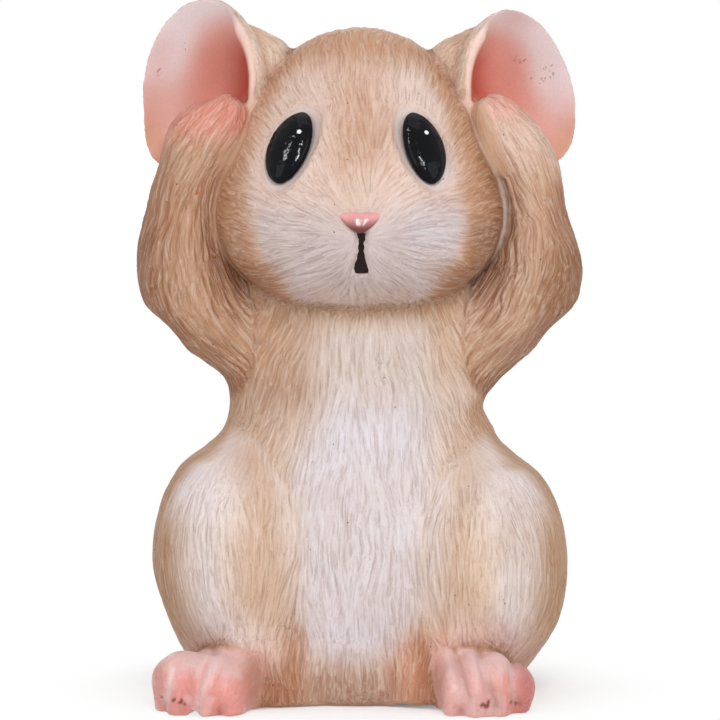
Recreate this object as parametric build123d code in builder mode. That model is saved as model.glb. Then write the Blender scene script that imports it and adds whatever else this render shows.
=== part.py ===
from build123d import *
import math
import os

# Mouse figurine in cold-cast resin: it sits upright and presses both paws over its ears.
# Millimetres, +Z up. The mouse faces -Y, so its own left side is at +X. The origin is the
# centre of the felt's underside, on the surface that the figurine stands on.

os.makedirs("parts", exist_ok=True)

# Shared sizes
glue_gap = 0.1
overrun = 2.0
casting_wall = 4.5

# Felt sheet glued under the body
felt_thickness = 0.8
felt_inset = 1.5

# Torso: height, greatest half width and half depth, and the stations that it is lofted
# through, as shares of them: height, half width, half depth, forward shift.
torso_height = 99.0
torso_half_width = 31.0
torso_half_depth = 31.0
torso_shares = [
    (0.000, 0.79, 0.76, 0.00),
    (0.045, 0.86, 0.85, -0.03),
    (0.125, 0.95, 0.93, -0.06),
    (0.245, 1.00, 1.00, -0.06),
    (0.395, 0.97, 0.95, -0.08),
    (0.545, 0.91, 0.83, -0.08),
    (0.660, 0.87, 0.72, -0.06),
    (0.780, 0.86, 0.64, -0.02),
    (0.890, 0.80, 0.57, 0.00),
    (1.000, 0.50, 0.44, -0.09),
]
pour_hole_radius = 15.0
plug_rebate = 1.2
plug_thickness = 2.5

# Head: bottom, overall sizes, and its stations, as shares of height, half width, half
# depth and half depth again for the forward shift.
head_bottom = 85.4
head_height = 57.6
head_half_width = 31.2
head_half_depth = 29.0
head_shares = [
    (0.000, 0.26, 0.20, 0.45),
    (0.030, 0.57, 0.44, 0.42),
    (0.095, 0.78, 0.68, 0.38),
    (0.190, 0.92, 0.86, 0.34),
    (0.320, 1.00, 0.98, 0.27),
    (0.470, 0.98, 1.00, 0.19),
    (0.620, 0.89, 0.93, 0.10),
    (0.760, 0.745, 0.77, 0.03),
    (0.880, 0.550, 0.56, -0.01),
    (0.960, 0.330, 0.33, -0.02),
    (1.000, 0.080, 0.08, -0.02),
]
neck_forward = 4.0
neck_peg_radius = 7.5
neck_peg_drop = 9.4
neck_peg_rise = 11.6

# Haunches, each tipped so that its knee end is raised
haunch_half_width = 18.2
haunch_half_depth = 29.5
haunch_half_height = 26.8
haunch_out = 26.4
haunch_forward = 4.5
haunch_height = {"left": 27.4, "right": 29.1}
haunch_tip = 14.0
hip_peg_radius = 5.0
hip_peg_root = 8.0
hip_peg_length = 8.4

# Feet: an instep with a row of toes, listed from the inner one. Each toe has its place
# across the foot, its reach, its half width and its height, as shares of the foot's half
# width, length, half width and height. The two feet are turned out differently.
foot_length = 37.0
foot_half_width = {"left": 9.4, "right": 10.6}
foot_height = 12.8
toe_half_length = 10.5
toe_shares = [
    (-0.72, 0.92, 0.34, 0.80),
    (-0.22, 1.00, 0.40, 1.00),
    (0.33, 0.98, 0.38, 0.98),
    (0.76, 0.84, 0.32, 0.76),
]
toe_centre_height_share = 0.36
instep_half_length = 17.0
instep_height_share = 0.90
heel_forward = 12.0
heel_out = {"left": 23.8, "right": 26.2}
foot_splay = {"left": 5.0, "right": 17.0}
ankle_peg_radius = 2.6
ankle_peg_top = 18.0
ankle_peg_along = 10.0

# Arms: the path from the shoulder round the elbow to the paw, as shares of the elbow's
# distance from the middle, the arm's forward reach, its rise from the shoulder to just
# above the ear's centre and its radius.
shoulder_height = 66.5
elbow_out = 39.0
arm_forward = 12.4
paw_rise = 1.7
arm_radius = 10.3
arm_shares = [
    (0.370, -0.08, 0.000, 0.98),
    (0.530, 0.02, 0.090, 1.01),
    (0.744, 0.22, 0.216, 1.02),
    (0.930, 0.42, 0.336, 1.07),
    (0.970, 0.56, 0.455, 0.970),
    (0.968, 0.68, 0.572, 0.800),
    (0.938, 0.80, 0.683, 0.710),
    (0.862, 0.93, 0.799, 0.630),
    (0.764, 0.98, 0.891, 0.510),
    (0.697, 1.00, 0.940, 0.350),
    (0.672, 1.00, 0.959, 0.107),
]
thumb_radius = 3.1
thumb_half_length = 8.6
thumb_out = 28.4
thumb_forward = 14.0
thumb_drop = 8.7
thumb_lean = 12.0
shoulder_pin_radius = 1.6
shoulder_pin_length = 18.0
shoulder_pin_share = 0.8

# Ears: a cup on a rim, turned outwards and leaning in at the top, with a root on the head.
# Their centre is placed by shares of the head's half width and height.
ear_half_width = 14.6
ear_half_height = {"left": 18.6, "right": 19.4}
ear_depth = 12.0
ear_lip = 2.8
ear_wall = 2.6
ear_out_share = 1.093
ear_forward = 4.0
ear_up_share = {"left": 0.7743, "right": 0.7882}
ear_turn = 32.0
ear_lean = 17.0
ear_root_half_width = 13.5
ear_root_half_depth = 9.0
ear_root_half_height = 12.5
ear_root_out_share = 0.8654
ear_root_rise = 3.0
ear_peg_radius = 3.0
ear_peg_root = 4.5
ear_peg_length = 6.4
ear_peg_drop = 30.0

# Eyes, with the painted dot of light on each one. The height of the eyes, the nose and
# the mouth's top is a share of the head's.
eye_half_width = 4.9
eye_half_length = 8.9
eye_bulge = 2.6
eye_sink = 0.9
eye_out = {"left": 13.7, "right": 15.2}
eye_up_share = 0.609
eye_lean = 24.0
catchlight_radius = 0.6
catchlight_up_share = {"left": 0.325, "right": 0.52}
catchlight_across_share = {"left": 0.40, "right": 0.14}

# Nose and mouth
nose_up_share = 0.342
nose_half_width = 6.7
nose_tall = 4.9
nose_corner = 1.2
nose_thickness = 2.4
nose_proud = 1.2
nose_edge = 0.7
mouth_up_share = 0.304
mouth_length = 8.8
mouth_half_width = 1.55
mouth_depth = 1.0
mouth_corner = 0.6
mouth_waist_share = 0.42
mouth_top_share = 0.58
mouth_waist_down_share = 0.30
mouth_widest_down_share = 0.84

# Tail: it lies on the ground behind the right haunch. Its path is in shares of its reach
# sideways and backwards, with the radius as a share of the root's radius.
tail_reach_side = 37.5
tail_reach_back = 33.5
tail_root_radius = 3.8
tail_shares = [
    (0.02, 0.60, 1.00),
    (-0.06, 0.86, 1.00),
    (-0.24, 0.99, 0.97),
    (-0.46, 1.00, 0.92),
    (-0.67, 0.88, 0.84),
    (-0.83, 0.68, 0.74),
    (-0.94, 0.46, 0.62),
    (-1.00, 0.24, 0.48),
    (-1.00, 0.16, 0.16),
]
tail_pin_radius = 1.2
tail_pin_length = 12.0
tail_pin_height = 5.0
tail_pin_start_share = 0.55

# Solids smaller than this share of a piece are shavings left by its cuts
shaving_share = 0.01

# Places worked out from the sizes above
base_z = felt_thickness
rebate_radius = pour_hole_radius + plug_rebate
neck_start = Vector(0, -neck_forward, head_bottom - neck_peg_drop)
neck_length = neck_peg_drop + neck_peg_rise
eye_height = head_bottom + head_height * eye_up_share
nose_height = head_bottom + head_height * nose_up_share
mouth_top = head_bottom + head_height * mouth_up_share
ear_out = head_half_width * ear_out_share
ear_height = {name: head_bottom + head_height * share for name, share in ear_up_share.items()}
arm_rise = ear_height["left"] + paw_rise - shoulder_height
thumb_height = ear_height["left"] - thumb_drop
sides = (("left", 1), ("right", -1))


def torso_stations(inset=0.0):
    return [
        (
            base_z + torso_height * up,
            torso_half_width * wide - inset,
            torso_half_depth * deep - inset,
            torso_half_depth * ahead,
        )
        for up, wide, deep, ahead in torso_shares
    ]


def head_stations(inset=0.0):
    return [
        (
            head_bottom + head_height * up,
            head_half_width * wide - inset,
            head_half_depth * deep - inset,
            head_half_depth * ahead,
        )
        for up, wide, deep, ahead in head_shares
    ]


def ellipse_loft(stations):
    """A form through level ellipses: height, half width, half depth, forward shift."""
    with BuildPart() as form:
        for height, half_width, half_depth, forward in stations:
            with BuildSketch(Plane.XY.offset(height)):
                with Locations((0, -forward)):
                    Ellipse(half_width, half_depth)
        loft()
    return form.part


def round_loft(points, radii, level):
    """A form through circles square to a path; `level` fixes the way that they're turned."""
    last = len(points) - 1
    with BuildPart() as form:
        for index, point in enumerate(points):
            along = points[min(index + 1, last)] - points[max(index - 1, 0)]
            along = along.normalized()
            across = level - along * level.dot(along)
            with BuildSketch(Plane(origin=point, x_dir=across, z_dir=along)):
                Circle(radii[index])
        loft()
    return form.part


def peg(start, direction, radius, length):
    """A round peg or pin that runs from a point."""
    with BuildPart(Plane(origin=start, z_dir=direction)) as form:
        Cylinder(radius, length, align=(Align.CENTER, Align.CENTER, Align.MIN))
    return form.part


def ellipsoid(half_sizes, plane):
    """A unit ball scaled along a plane's own axes."""
    with BuildPart() as form:
        Sphere(1)
        scale(by=half_sizes)
    return form.part.moved(plane.location)


def spindle(radius, half_length, plane):
    """An ellipsoid that is round across a plane's Y."""
    with BuildPart() as form:
        with BuildSketch():
            with BuildLine():
                edge = EllipticalCenterArc(
                    (0, 0), radius, half_length, start_angle=270, arc_size=180
                )
                Line(edge @ 1, edge @ 0)
            make_face()
        revolve(axis=Axis.Y)
    return form.part.moved(plane.location)


def surface_plane(origin, normal, up):
    """A plane with its Y as near to `up` as the normal allows."""
    return Plane(origin=origin, x_dir=Vector(up).cross(Vector(normal)), z_dir=normal)


def lean_up(sign, degrees):
    """Upwards, leaning towards the middle by an angle."""
    angle = math.radians(degrees)
    return (-sign * math.sin(angle), 0, math.cos(angle))


def save(part, name):
    """Drops the shavings that the cuts leave, labels the piece and writes its file."""
    solids = part.solids().sort_by(SortBy.VOLUME)
    kept = [solid for solid in solids if solid.volume > shaving_share * solids[-1].volume]
    shape = Part(children=kept) if len(kept) > 1 else Part(kept[0].wrapped)
    shape.label = name
    export_step(shape, f"parts/{name}.step")


# Outer forms that other pieces are cut to
torso_form = ellipse_loft(torso_stations())
head_form = ellipse_loft(head_stations())


def haunch_centre(name, sign):
    return Vector(sign * haunch_out, -haunch_forward, haunch_height[name])


def haunch_form(name, sign):
    half_sizes = (haunch_half_width, haunch_half_depth, haunch_half_height)
    tipped = Plane(haunch_centre(name, sign)).rotated((-haunch_tip, 0, 0))
    with BuildPart() as form:
        add(ellipsoid(half_sizes, tipped))
        split(bisect_by=Plane.XY.offset(base_z), keep=Keep.TOP)
    return form.part


def hip_peg(name, sign, gap=0.0):
    root = haunch_centre(name, sign) + Vector(sign * hip_peg_root, 0, 0)
    return peg(root, (-sign, 0, 0), hip_peg_radius + gap, hip_peg_length + gap)


def foot_point(name, sign, along, across=0.0, up=0.0):
    """A point of a foot: distance from its heel, distance outwards, height."""
    splay = math.radians(foot_splay[name])
    forward = Vector(sign * math.sin(splay), -math.cos(splay), 0)
    outward = Vector(sign * math.cos(splay), math.sin(splay), 0)
    heel = Vector(sign * heel_out[name], -heel_forward, base_z)
    return heel + forward * along + outward * across + Vector(0, 0, up)


def foot_form(name, sign):
    """An instep and its toes, on a flat sole."""
    turned = (0, 0, sign * foot_splay[name])
    half_width = foot_half_width[name]
    with BuildPart() as form:
        half_sizes = (half_width, instep_half_length, foot_height * instep_height_share)
        instep = foot_point(name, sign, instep_half_length)
        add(ellipsoid(half_sizes, Plane(instep).rotated(turned)))
        for across, reach, wide, tall in toe_shares:
            along = foot_length * reach - toe_half_length
            rise = foot_height * toe_centre_height_share * tall
            centre = foot_point(name, sign, along, half_width * across, rise)
            half_sizes = (half_width * wide, toe_half_length, foot_height * tall - rise)
            add(ellipsoid(half_sizes, Plane(centre).rotated(turned)))
        split(bisect_by=Plane.XY.offset(base_z), keep=Keep.TOP)
    return form.part


def ankle_peg(name, sign, gap=0.0):
    base = foot_point(name, sign, ankle_peg_along, up=foot_height / 2)
    return peg(base, (0, 0, 1), ankle_peg_radius + gap, ankle_peg_top - base.Z + gap)


def arm_points(sign):
    return [
        Vector(sign * elbow_out * out, -arm_forward * ahead, shoulder_height + arm_rise * up)
        for out, ahead, up, _ in arm_shares
    ]


def arm_form(sign):
    radii = [arm_radius * share for *_, share in arm_shares]
    thumb_centre = Vector(sign * thumb_out, -thumb_forward, thumb_height)
    thumb = surface_plane(thumb_centre, (0, -1, 0), lean_up(sign, thumb_lean))
    with BuildPart() as form:
        add(round_loft(arm_points(sign), radii, Vector(0, 1, 0)))
        add(spindle(thumb_radius, thumb_half_length, thumb))
    return form.part


def shoulder_pin(sign, gap=0.0):
    points = arm_points(sign)
    span = points[2] - points[0]
    along = span.normalized()
    start = points[0] + span * shoulder_pin_share - along * (shoulder_pin_length / 2 + gap)
    return peg(start, along, shoulder_pin_radius + gap, shoulder_pin_length + 2 * gap)


def ear_plane(name, sign):
    turn = math.radians(ear_turn)
    facing = (sign * math.sin(turn), -math.cos(turn), 0)
    centre = Vector(sign * ear_out, -ear_forward, ear_height[name])
    return surface_plane(centre, facing, lean_up(sign, ear_lean))


def ear_root_centre(name, sign):
    out = head_half_width * ear_root_out_share
    return Vector(sign * out, 0, ear_height[name] + ear_root_rise)


def ear_peg(name, sign, gap=0.0):
    drop = math.radians(ear_peg_drop)
    inwards = Vector(-sign * math.cos(drop), 0, -math.sin(drop))
    start = ear_root_centre(name, sign) + inwards * ear_peg_root
    return peg(start, inwards, ear_peg_radius + gap, ear_peg_length + gap)


def ear_form(name, sign):
    """The cup with its rounded lip on its root, and the bowl cut from both."""
    plane = ear_plane(name, sign)
    stretch = (1, ear_half_height[name] / ear_half_width, 1)
    bowl_radius = ear_half_width - ear_lip
    bowl_depth = ear_depth - ear_wall
    root_half_sizes = (ear_root_half_width, ear_root_half_depth, ear_root_half_height)
    with BuildPart() as cup:
        with BuildSketch(Plane.XZ):
            with BuildLine():
                outside = EllipticalCenterArc(
                    (0, 0), ear_half_width, ear_depth, start_angle=270, arc_size=90
                )
                lip_top = (ear_half_width - ear_lip / 2, ear_lip / 2)
                lip = ThreePointArc(outside @ 1, lip_top, (bowl_radius, 0))
                Polyline(lip @ 1, (0, 0), outside @ 0)
            make_face()
        revolve(axis=Axis.Z)
        scale(by=stretch)
    with BuildPart() as bowl:
        with BuildSketch(Plane.XZ):
            with BuildLine():
                inside = EllipticalCenterArc(
                    (0, 0), bowl_radius, bowl_depth, start_angle=270, arc_size=90
                )
                Polyline(inside @ 1, (bowl_radius, ear_lip), (0, ear_lip), inside @ 0)
            make_face()
        revolve(axis=Axis.Z)
        scale(by=stretch)
    with BuildPart() as form:
        add(cup.part.moved(plane.location))
        add(ellipsoid(root_half_sizes, Plane(ear_root_centre(name, sign))))
        add(bowl.part.moved(plane.location), mode=Mode.SUBTRACT)
    return form.part


def face_hit(out, height):
    """Where a line from the front meets the face, and the face's outward normal there."""
    line = Axis((out, -2 * head_half_depth, height), (0, 1, 0))
    hits = head_form.find_intersection_points(line)
    point, normal = min(hits, key=lambda hit: hit[0].Y)
    return point, normal if normal.Y < 0 else normal * -1


def eye_plane(name, sign):
    """On the face, with Y along the eye as it leans when it's seen from the front."""
    point, normal = face_hit(sign * eye_out[name], eye_height)
    up = Vector(lean_up(sign, eye_lean))
    along = up - Vector(0, up.dot(normal) / normal.Y, 0)
    return surface_plane(point - normal * eye_sink, normal, along)


def eye_form(name, sign):
    half_sizes = (eye_half_width, eye_half_length, eye_bulge)
    return ellipsoid(half_sizes, eye_plane(name, sign))


def catchlight_form(name, sign):
    across, up = catchlight_across_share[name], catchlight_up_share[name]
    lift = math.sqrt(1 - across**2 - up**2)
    spot = Vector(across * eye_half_width, up * eye_half_length, lift * eye_bulge)
    half_sizes = (catchlight_radius, catchlight_radius, catchlight_radius)
    return ellipsoid(half_sizes, Plane(eye_plane(name, sign).from_local_coords(spot)))


def nose_plane():
    point, normal = face_hit(0, nose_height)
    return surface_plane(point - normal * (nose_thickness - nose_proud), normal, (0, 0, 1))


with BuildPart() as nose:
    with BuildSketch(nose_plane()) as nose_outline:
        with BuildLine():
            Polyline(
                (-nose_half_width, nose_tall / 2),
                (nose_half_width, nose_tall / 2),
                (0, -nose_tall / 2),
                close=True,
            )
        make_face()
        fillet(nose_outline.vertices(), nose_corner)
    extrude(amount=nose_thickness)
    nose_front = nose.faces().sort_by(Axis.Y)[0]
    fillet(nose_front.edges(), nose_edge)
save(nose.part, "nose")

with BuildPart() as mouth_inlay:
    mouth_bottom = mouth_top - mouth_length
    waist_z = mouth_top - mouth_length * mouth_waist_down_share
    widest_z = mouth_top - mouth_length * mouth_widest_down_share
    with BuildSketch(Plane.XZ) as mouth_outline:
        with BuildLine():
            side = Spline(
                (mouth_half_width * mouth_top_share, mouth_top),
                (mouth_half_width * mouth_waist_share, waist_z),
                (mouth_half_width, widest_z),
            )
            Polyline(side @ 1, (mouth_half_width, mouth_bottom), (0, mouth_bottom))
            Polyline((0, mouth_bottom), (0, mouth_top), side @ 0)
        make_face()
        mirror(about=Plane.YZ)
        fillet(mouth_outline.vertices().group_by(Axis.Y)[0], mouth_corner)
    extrude(amount=2 * head_half_depth)
    add(head_form, mode=Mode.INTERSECT)
    add(head_form.moved(Location((0, mouth_depth, 0))), mode=Mode.SUBTRACT)
    add(nose.part, mode=Mode.SUBTRACT)
save(mouth_inlay.part, "mouth_inlay")

# Tail and its pin
tail_points = [
    Vector(tail_reach_side * out, tail_reach_back * back, base_z + tail_root_radius * share)
    for out, back, share in tail_shares
]
tail_radii = [tail_root_radius * share for *_, share in tail_shares]
tail_form = round_loft(tail_points, tail_radii, Vector(0, 0, 1))
tail_pin_start = Vector(
    tail_points[0].X, torso_half_depth * tail_pin_start_share, base_z + tail_pin_height
)
tail_pin = peg(tail_pin_start, (0, 1, 0), tail_pin_radius, tail_pin_length)
tail_socket = peg(tail_pin_start, (0, 1, 0), tail_pin_radius + glue_gap, tail_pin_length)
save(tail_pin, "tail_pin")

# Head shell, poured hollow through its neck
head_cavity = ellipse_loft(head_stations(casting_wall)[2:-2])
with BuildPart() as head_shell:
    add(head_form)
    add(head_cavity, mode=Mode.SUBTRACT)
    neck_hole = peg(neck_start, (0, 0, 1), neck_peg_radius + glue_gap, neck_length + overrun)
    add(neck_hole, mode=Mode.SUBTRACT)
    for name, sign in sides:
        add(eye_form(name, sign), mode=Mode.SUBTRACT)
        add(ear_peg(name, sign, glue_gap), mode=Mode.SUBTRACT)
    add(nose.part, mode=Mode.SUBTRACT)
    add(mouth_inlay.part, mode=Mode.SUBTRACT)
save(head_shell.part, "head_shell")

# Body shell, poured hollow through a hole in its base, with a solid neck peg on top
body_cavity = ellipse_loft(torso_stations(casting_wall)[1:7])
with BuildPart() as body_shell:
    add(torso_form)
    add(body_cavity, mode=Mode.SUBTRACT)
    add(head_form, mode=Mode.SUBTRACT)
    add(peg(neck_start, (0, 0, 1), neck_peg_radius, neck_length))
    pour_hole = peg((0, 0, 0), (0, 0, 1), pour_hole_radius, base_z + 2 * casting_wall)
    plug_seat = peg((0, 0, 0), (0, 0, 1), rebate_radius, base_z + plug_thickness)
    add(pour_hole, mode=Mode.SUBTRACT)
    add(plug_seat, mode=Mode.SUBTRACT)
    for name, sign in sides:
        add(hip_peg(name, sign, glue_gap), mode=Mode.SUBTRACT)
        add(shoulder_pin(sign, glue_gap), mode=Mode.SUBTRACT)
    add(tail_socket, mode=Mode.SUBTRACT)
save(body_shell.part, "body_shell")

base_plug = peg((0, 0, base_z), (0, 0, 1), rebate_radius - glue_gap, plug_thickness)
save(base_plug, "base_plug")

with BuildPart() as felt_base:
    _, felt_half_width, felt_half_depth, felt_ahead = torso_stations(felt_inset)[0]
    with BuildSketch():
        with Locations((0, -felt_ahead)):
            Ellipse(felt_half_width, felt_half_depth)
    extrude(amount=felt_thickness)
save(felt_base.part, "felt_base")

# The pieces that come in pairs
for name, sign in sides:
    arm_outside = arm_form(sign)
    haunch_outside = haunch_form(name, sign)

    with BuildPart() as arm:
        add(arm_outside)
        add(head_form, mode=Mode.SUBTRACT)
        add(torso_form, mode=Mode.SUBTRACT)
        add(shoulder_pin(sign, glue_gap), mode=Mode.SUBTRACT)
    save(arm.part, f"{name}_arm")
    save(shoulder_pin(sign), f"{name}_shoulder_pin")

    with BuildPart() as ear:
        add(ear_form(name, sign))
        add(head_form, mode=Mode.SUBTRACT)
        add(arm_outside, mode=Mode.SUBTRACT)
        add(ear_peg(name, sign))
    save(ear.part, f"{name}_ear")

    with BuildPart() as haunch:
        add(haunch_outside)
        add(torso_form, mode=Mode.SUBTRACT)
        add(hip_peg(name, sign))
        add(ankle_peg(name, sign, glue_gap), mode=Mode.SUBTRACT)
    save(haunch.part, f"{name}_haunch")

    with BuildPart() as foot:
        add(foot_form(name, sign))
        add(haunch_outside, mode=Mode.SUBTRACT)
        add(torso_form, mode=Mode.SUBTRACT)
        add(ankle_peg(name, sign))
    save(foot.part, f"{name}_foot")

    eye = eye_form(name, sign)
    save(eye, f"{name}_eye")
    with BuildPart() as catchlight:
        add(catchlight_form(name, sign))
        add(eye, mode=Mode.SUBTRACT)
    save(catchlight.part, f"{name}_catchlight")

with BuildPart() as tail:
    add(tail_form)
    add(torso_form, mode=Mode.SUBTRACT)
    add(haunch_form("right", -1), mode=Mode.SUBTRACT)
    add(tail_socket, mode=Mode.SUBTRACT)
save(tail.part, "tail")
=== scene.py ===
import itertools
import math

import bmesh
import bpy
import numpy as np
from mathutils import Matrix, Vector
from mathutils.bvhtree import BVHTree


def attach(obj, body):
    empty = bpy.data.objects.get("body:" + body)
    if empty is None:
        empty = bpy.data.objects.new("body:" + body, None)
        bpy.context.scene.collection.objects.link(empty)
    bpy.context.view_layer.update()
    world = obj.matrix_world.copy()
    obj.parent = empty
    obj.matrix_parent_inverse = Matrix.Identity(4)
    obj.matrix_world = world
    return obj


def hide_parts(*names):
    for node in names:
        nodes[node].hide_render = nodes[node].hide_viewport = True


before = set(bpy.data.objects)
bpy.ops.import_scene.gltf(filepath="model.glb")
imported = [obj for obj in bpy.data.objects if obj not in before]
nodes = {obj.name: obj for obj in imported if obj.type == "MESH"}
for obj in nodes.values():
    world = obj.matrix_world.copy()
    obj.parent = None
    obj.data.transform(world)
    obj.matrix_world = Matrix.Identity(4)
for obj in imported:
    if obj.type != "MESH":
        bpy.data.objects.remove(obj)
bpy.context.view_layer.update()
mm = 0.001

# Small tools


def parts255(hexValue):  # the red, green and blue of an sRGB hex value, from 0 to 1
    return np.array([int(hexValue[i:i + 2], 16) / 255 for i in (1, 3, 5)])


def toLinear(values):  # sRGB to the linear values that shaders use
    values = np.asarray(values, float)
    return np.where(values <= 0.04045, values / 12.92, ((values + 0.055) / 1.055) ** 2.4)


def colourOf(hexValue):
    return (*toLinear(parts255(hexValue)), 1.0)


def addNode(tree, kind, settings=None, links=None):  # a shader node with its settings and inputs
    node = tree.nodes.new("ShaderNode" + kind)
    for name, value in (settings or {}).items():
        setattr(node, name, value)
    for name, value in (links or {}).items():
        if isinstance(value, bpy.types.NodeSocket):
            tree.links.new(value, node.inputs[name])
        else:
            node.inputs[name].default_value = value
    return node


def newMaterial(name, inputs):  # a material, its tree and its shader with these constant inputs
    material = bpy.data.materials.new(name)
    material.use_nodes = True
    tree = material.node_tree
    tree.nodes.clear()
    surface = addNode(tree, "BsdfPrincipled", None, inputs)
    addNode(tree, "OutputMaterial", None, {"Surface": surface.outputs["BSDF"]})
    return material, tree, surface


def addObject(name, data):
    thing = bpy.data.objects.new(name, data)
    bpy.context.scene.collection.objects.link(thing)
    return thing


def smoothStep(low, high, value):
    share = np.clip((value - low) / (high - low), 0, 1)
    return share * share * (3 - 2 * share)


def spot(points, centre, reach):  # 1 at a place, fading to 0 where the reach ends
    share = (((points - np.array(centre)) / np.array(reach)) ** 2).sum(1)
    return np.clip(1 - share, 0, 1) ** 2


def unit(vectors):
    return vectors / np.maximum(np.linalg.norm(vectors, axis=-1, keepdims=True), 1e-9)


def alongSurface(directions, normals):  # the part of a direction that lies in the surface
    return unit(directions - (directions * normals).sum(1, keepdims=True) * normals)


def relax(values, edges, weight, turns):  # moves each point towards the mean of its neighbours
    values = values.copy()
    busy = np.flatnonzero((weight[edges[:, 0]] > 0) | (weight[edges[:, 1]] > 0))
    used, short = np.unique(edges[busy], return_inverse=True)
    short = short.reshape(-1, 2)
    first, second = short[:, 0], short[:, 1]
    count = len(used)
    full = np.bincount(edges.ravel(), minlength=len(values))[used]
    share = weight[used] / np.maximum(full, 1)
    degree = np.bincount(short.ravel(), minlength=count)
    columns = [values[used, axis] for axis in range(values.shape[1])]
    for _ in range(turns):
        for axis, column in enumerate(columns):
            total = np.bincount(first, column[second], count) + np.bincount(second, column[first], count)
            columns[axis] = column + share * (total - degree * column)
    values[used] = np.stack(columns, 1)
    return values


cellSpan = 4096   # cubes that a cell key counts along each axis


def cellKeys(places, cell):  # one number for each cube of this size, mm
    cells = np.floor(places / cell).astype(np.int64) + cellSpan // 8
    return (cells[:, 0] * cellSpan + cells[:, 1]) * cellSpan + cells[:, 2]


def groupSums(group, values):
    return np.stack([np.bincount(group, values[:, axis]) for axis in range(3)], 1)


def seamDistance(edges, lengths, start, reach):  # how far each point is from the started ones
    distance = np.where(start, 0.0, reach)
    for _ in range(int(reach / np.median(lengths)) + 2):
        step = np.minimum(distance[edges[:, 0]], distance[edges[:, 1]]) + lengths
        np.minimum.at(distance, edges[:, 0], step)
        np.minimum.at(distance, edges[:, 1], step)
    return np.minimum(distance, reach)


noiseSide = 64   # cells after which the noise repeats, a power of two
randomTable = np.random.default_rng(7).random(noiseSide ** 3)


def valueNoise(points, cell, shift=0):  # smooth noise from 0 to 1 with lumps of about two cells
    scaled = points / cell + shift * 17.3
    base = np.floor(scaled).astype(np.int32)
    part = scaled - base
    part = part * part * (3 - 2 * part)
    low, high = base & (noiseSide - 1), (base + 1) & (noiseSide - 1)
    spans = (noiseSide ** 2, noiseSide, 1)
    rows = [(low[:, axis] * span, high[:, axis] * span) for axis, span in enumerate(spans)]
    shares = [(1 - part[:, axis], part[:, axis]) for axis in range(3)]
    total = np.zeros(len(points))
    for i, j, k in itertools.product((0, 1), repeat=3):
        total += (shares[0][i] * shares[1][j] * shares[2][k]
                  * randomTable[rows[0][i] + rows[1][j] + rows[2][k]])
    return total


def joinRings(shape, rings):  # faces between closed rings of points that lie one after another
    for low, high in zip(rings, rings[1:]):
        for i in range(len(low)):
            j = (i + 1) % len(low)
            shape.faces.new((low[i], low[j], high[j], high[i]))


# Camera, light and floor

cameraWays = {
    "elevation": 7.0,       # degrees above the table
    "distance": 4.0,        # m from the figure's middle
    "frameWidth": 0.1549,   # m that the frame spans there
    "target": (0.0, 0.0, 0.07126),
}


def makeCamera():
    tilt = math.radians(cameraWays["elevation"])
    back = Vector((0, -math.cos(tilt), math.sin(tilt)))
    lens = bpy.data.cameras.new("camera")
    lens.sensor_width = 36
    lens.lens = lens.sensor_width * cameraWays["distance"] / cameraWays["frameWidth"]
    lens.clip_start, lens.clip_end = 0.05, 20
    camera = addObject("camera", lens)
    camera.location = Vector(cameraWays["target"]) + back * cameraWays["distance"]
    camera.rotation_euler = (-back).to_track_quat("-Z", "Y").to_euler()
    bpy.context.scene.camera = camera


lampWays = {  # name: (watts, width and height m, place m), each aimed at the figure's middle
    "keySoftbox": (5.2, (0.36, 0.36), (0.12, -0.90, 0.72)),
    "leftSoftbox": (2.0, (0.60, 0.60), (-0.75, -0.55, 0.40)),
    "rightSoftbox": (1.9, (0.60, 0.60), (0.75, -0.55, 0.35)),
    "topSoftbox": (1.5, (0.70, 0.70), (0.0, 0.10, 0.95)),
    "rimSoftbox": (1.2, (0.50, 0.50), (0.0, 0.80, 0.45)),
    # these two show only in reflections, as streaks on the enamel
    "glintStrip": (7.5, (0.05, 0.30), (0.13, -0.86, 0.75)),
    "glintCard": (2.4, (0.06, 0.22), (-0.55, -0.46, 0.85)),
}
worldWays = {"fill": 0.31, "white": 1.0}


def seenRay(tree):  # 1 for what the camera sees directly, in a reflection or through glass
    ray = addNode(tree, "LightPath").outputs
    direct = addNode(tree, "Math", {"operation": "MAXIMUM"},
                     {0: ray["Is Camera Ray"], 1: ray["Is Transmission Ray"]}).outputs[0]
    return addNode(tree, "Math", {"operation": "MAXIMUM"}, {0: direct, 1: ray["Is Glossy Ray"]}).outputs[0]


def makeLights():
    bpy.context.scene.view_settings.view_transform = "Standard"
    middle = Vector(cameraWays["target"])
    for name, (watts, sizes, place) in lampWays.items():
        light = bpy.data.lights.new(name, "AREA")
        light.shape, light.energy = "RECTANGLE", watts
        light.size, light.size_y = sizes
        lamp = addObject(name, light)
        lamp.location = place
        lamp.rotation_euler = (middle - Vector(place)).to_track_quat("-Z", "Y").to_euler()
        lamp.visible_diffuse = not name.startswith("glint")
    world = bpy.data.worlds.new("studio")
    bpy.context.scene.world = world
    world.use_nodes = True
    tree = world.node_tree
    tree.nodes.clear()
    strength = addNode(tree, "MapRange", None, {"Value": seenRay(tree), "To Min": worldWays["fill"],
                                                "To Max": worldWays["white"]})
    glow = addNode(tree, "Background", None, {"Color": (1, 1, 1, 1), "Strength": strength.outputs[0]})
    output = addNode(tree, "OutputWorld")
    tree.links.new(glow.outputs[0], output.inputs[0])


floorWays = {"radius": 1.2, "fadeFrom": 0.012, "fadeTo": 0.070, "white": "#ffffff", "roughness": 0.9,
             "shine": 0.1}   # lengths in m


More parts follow.
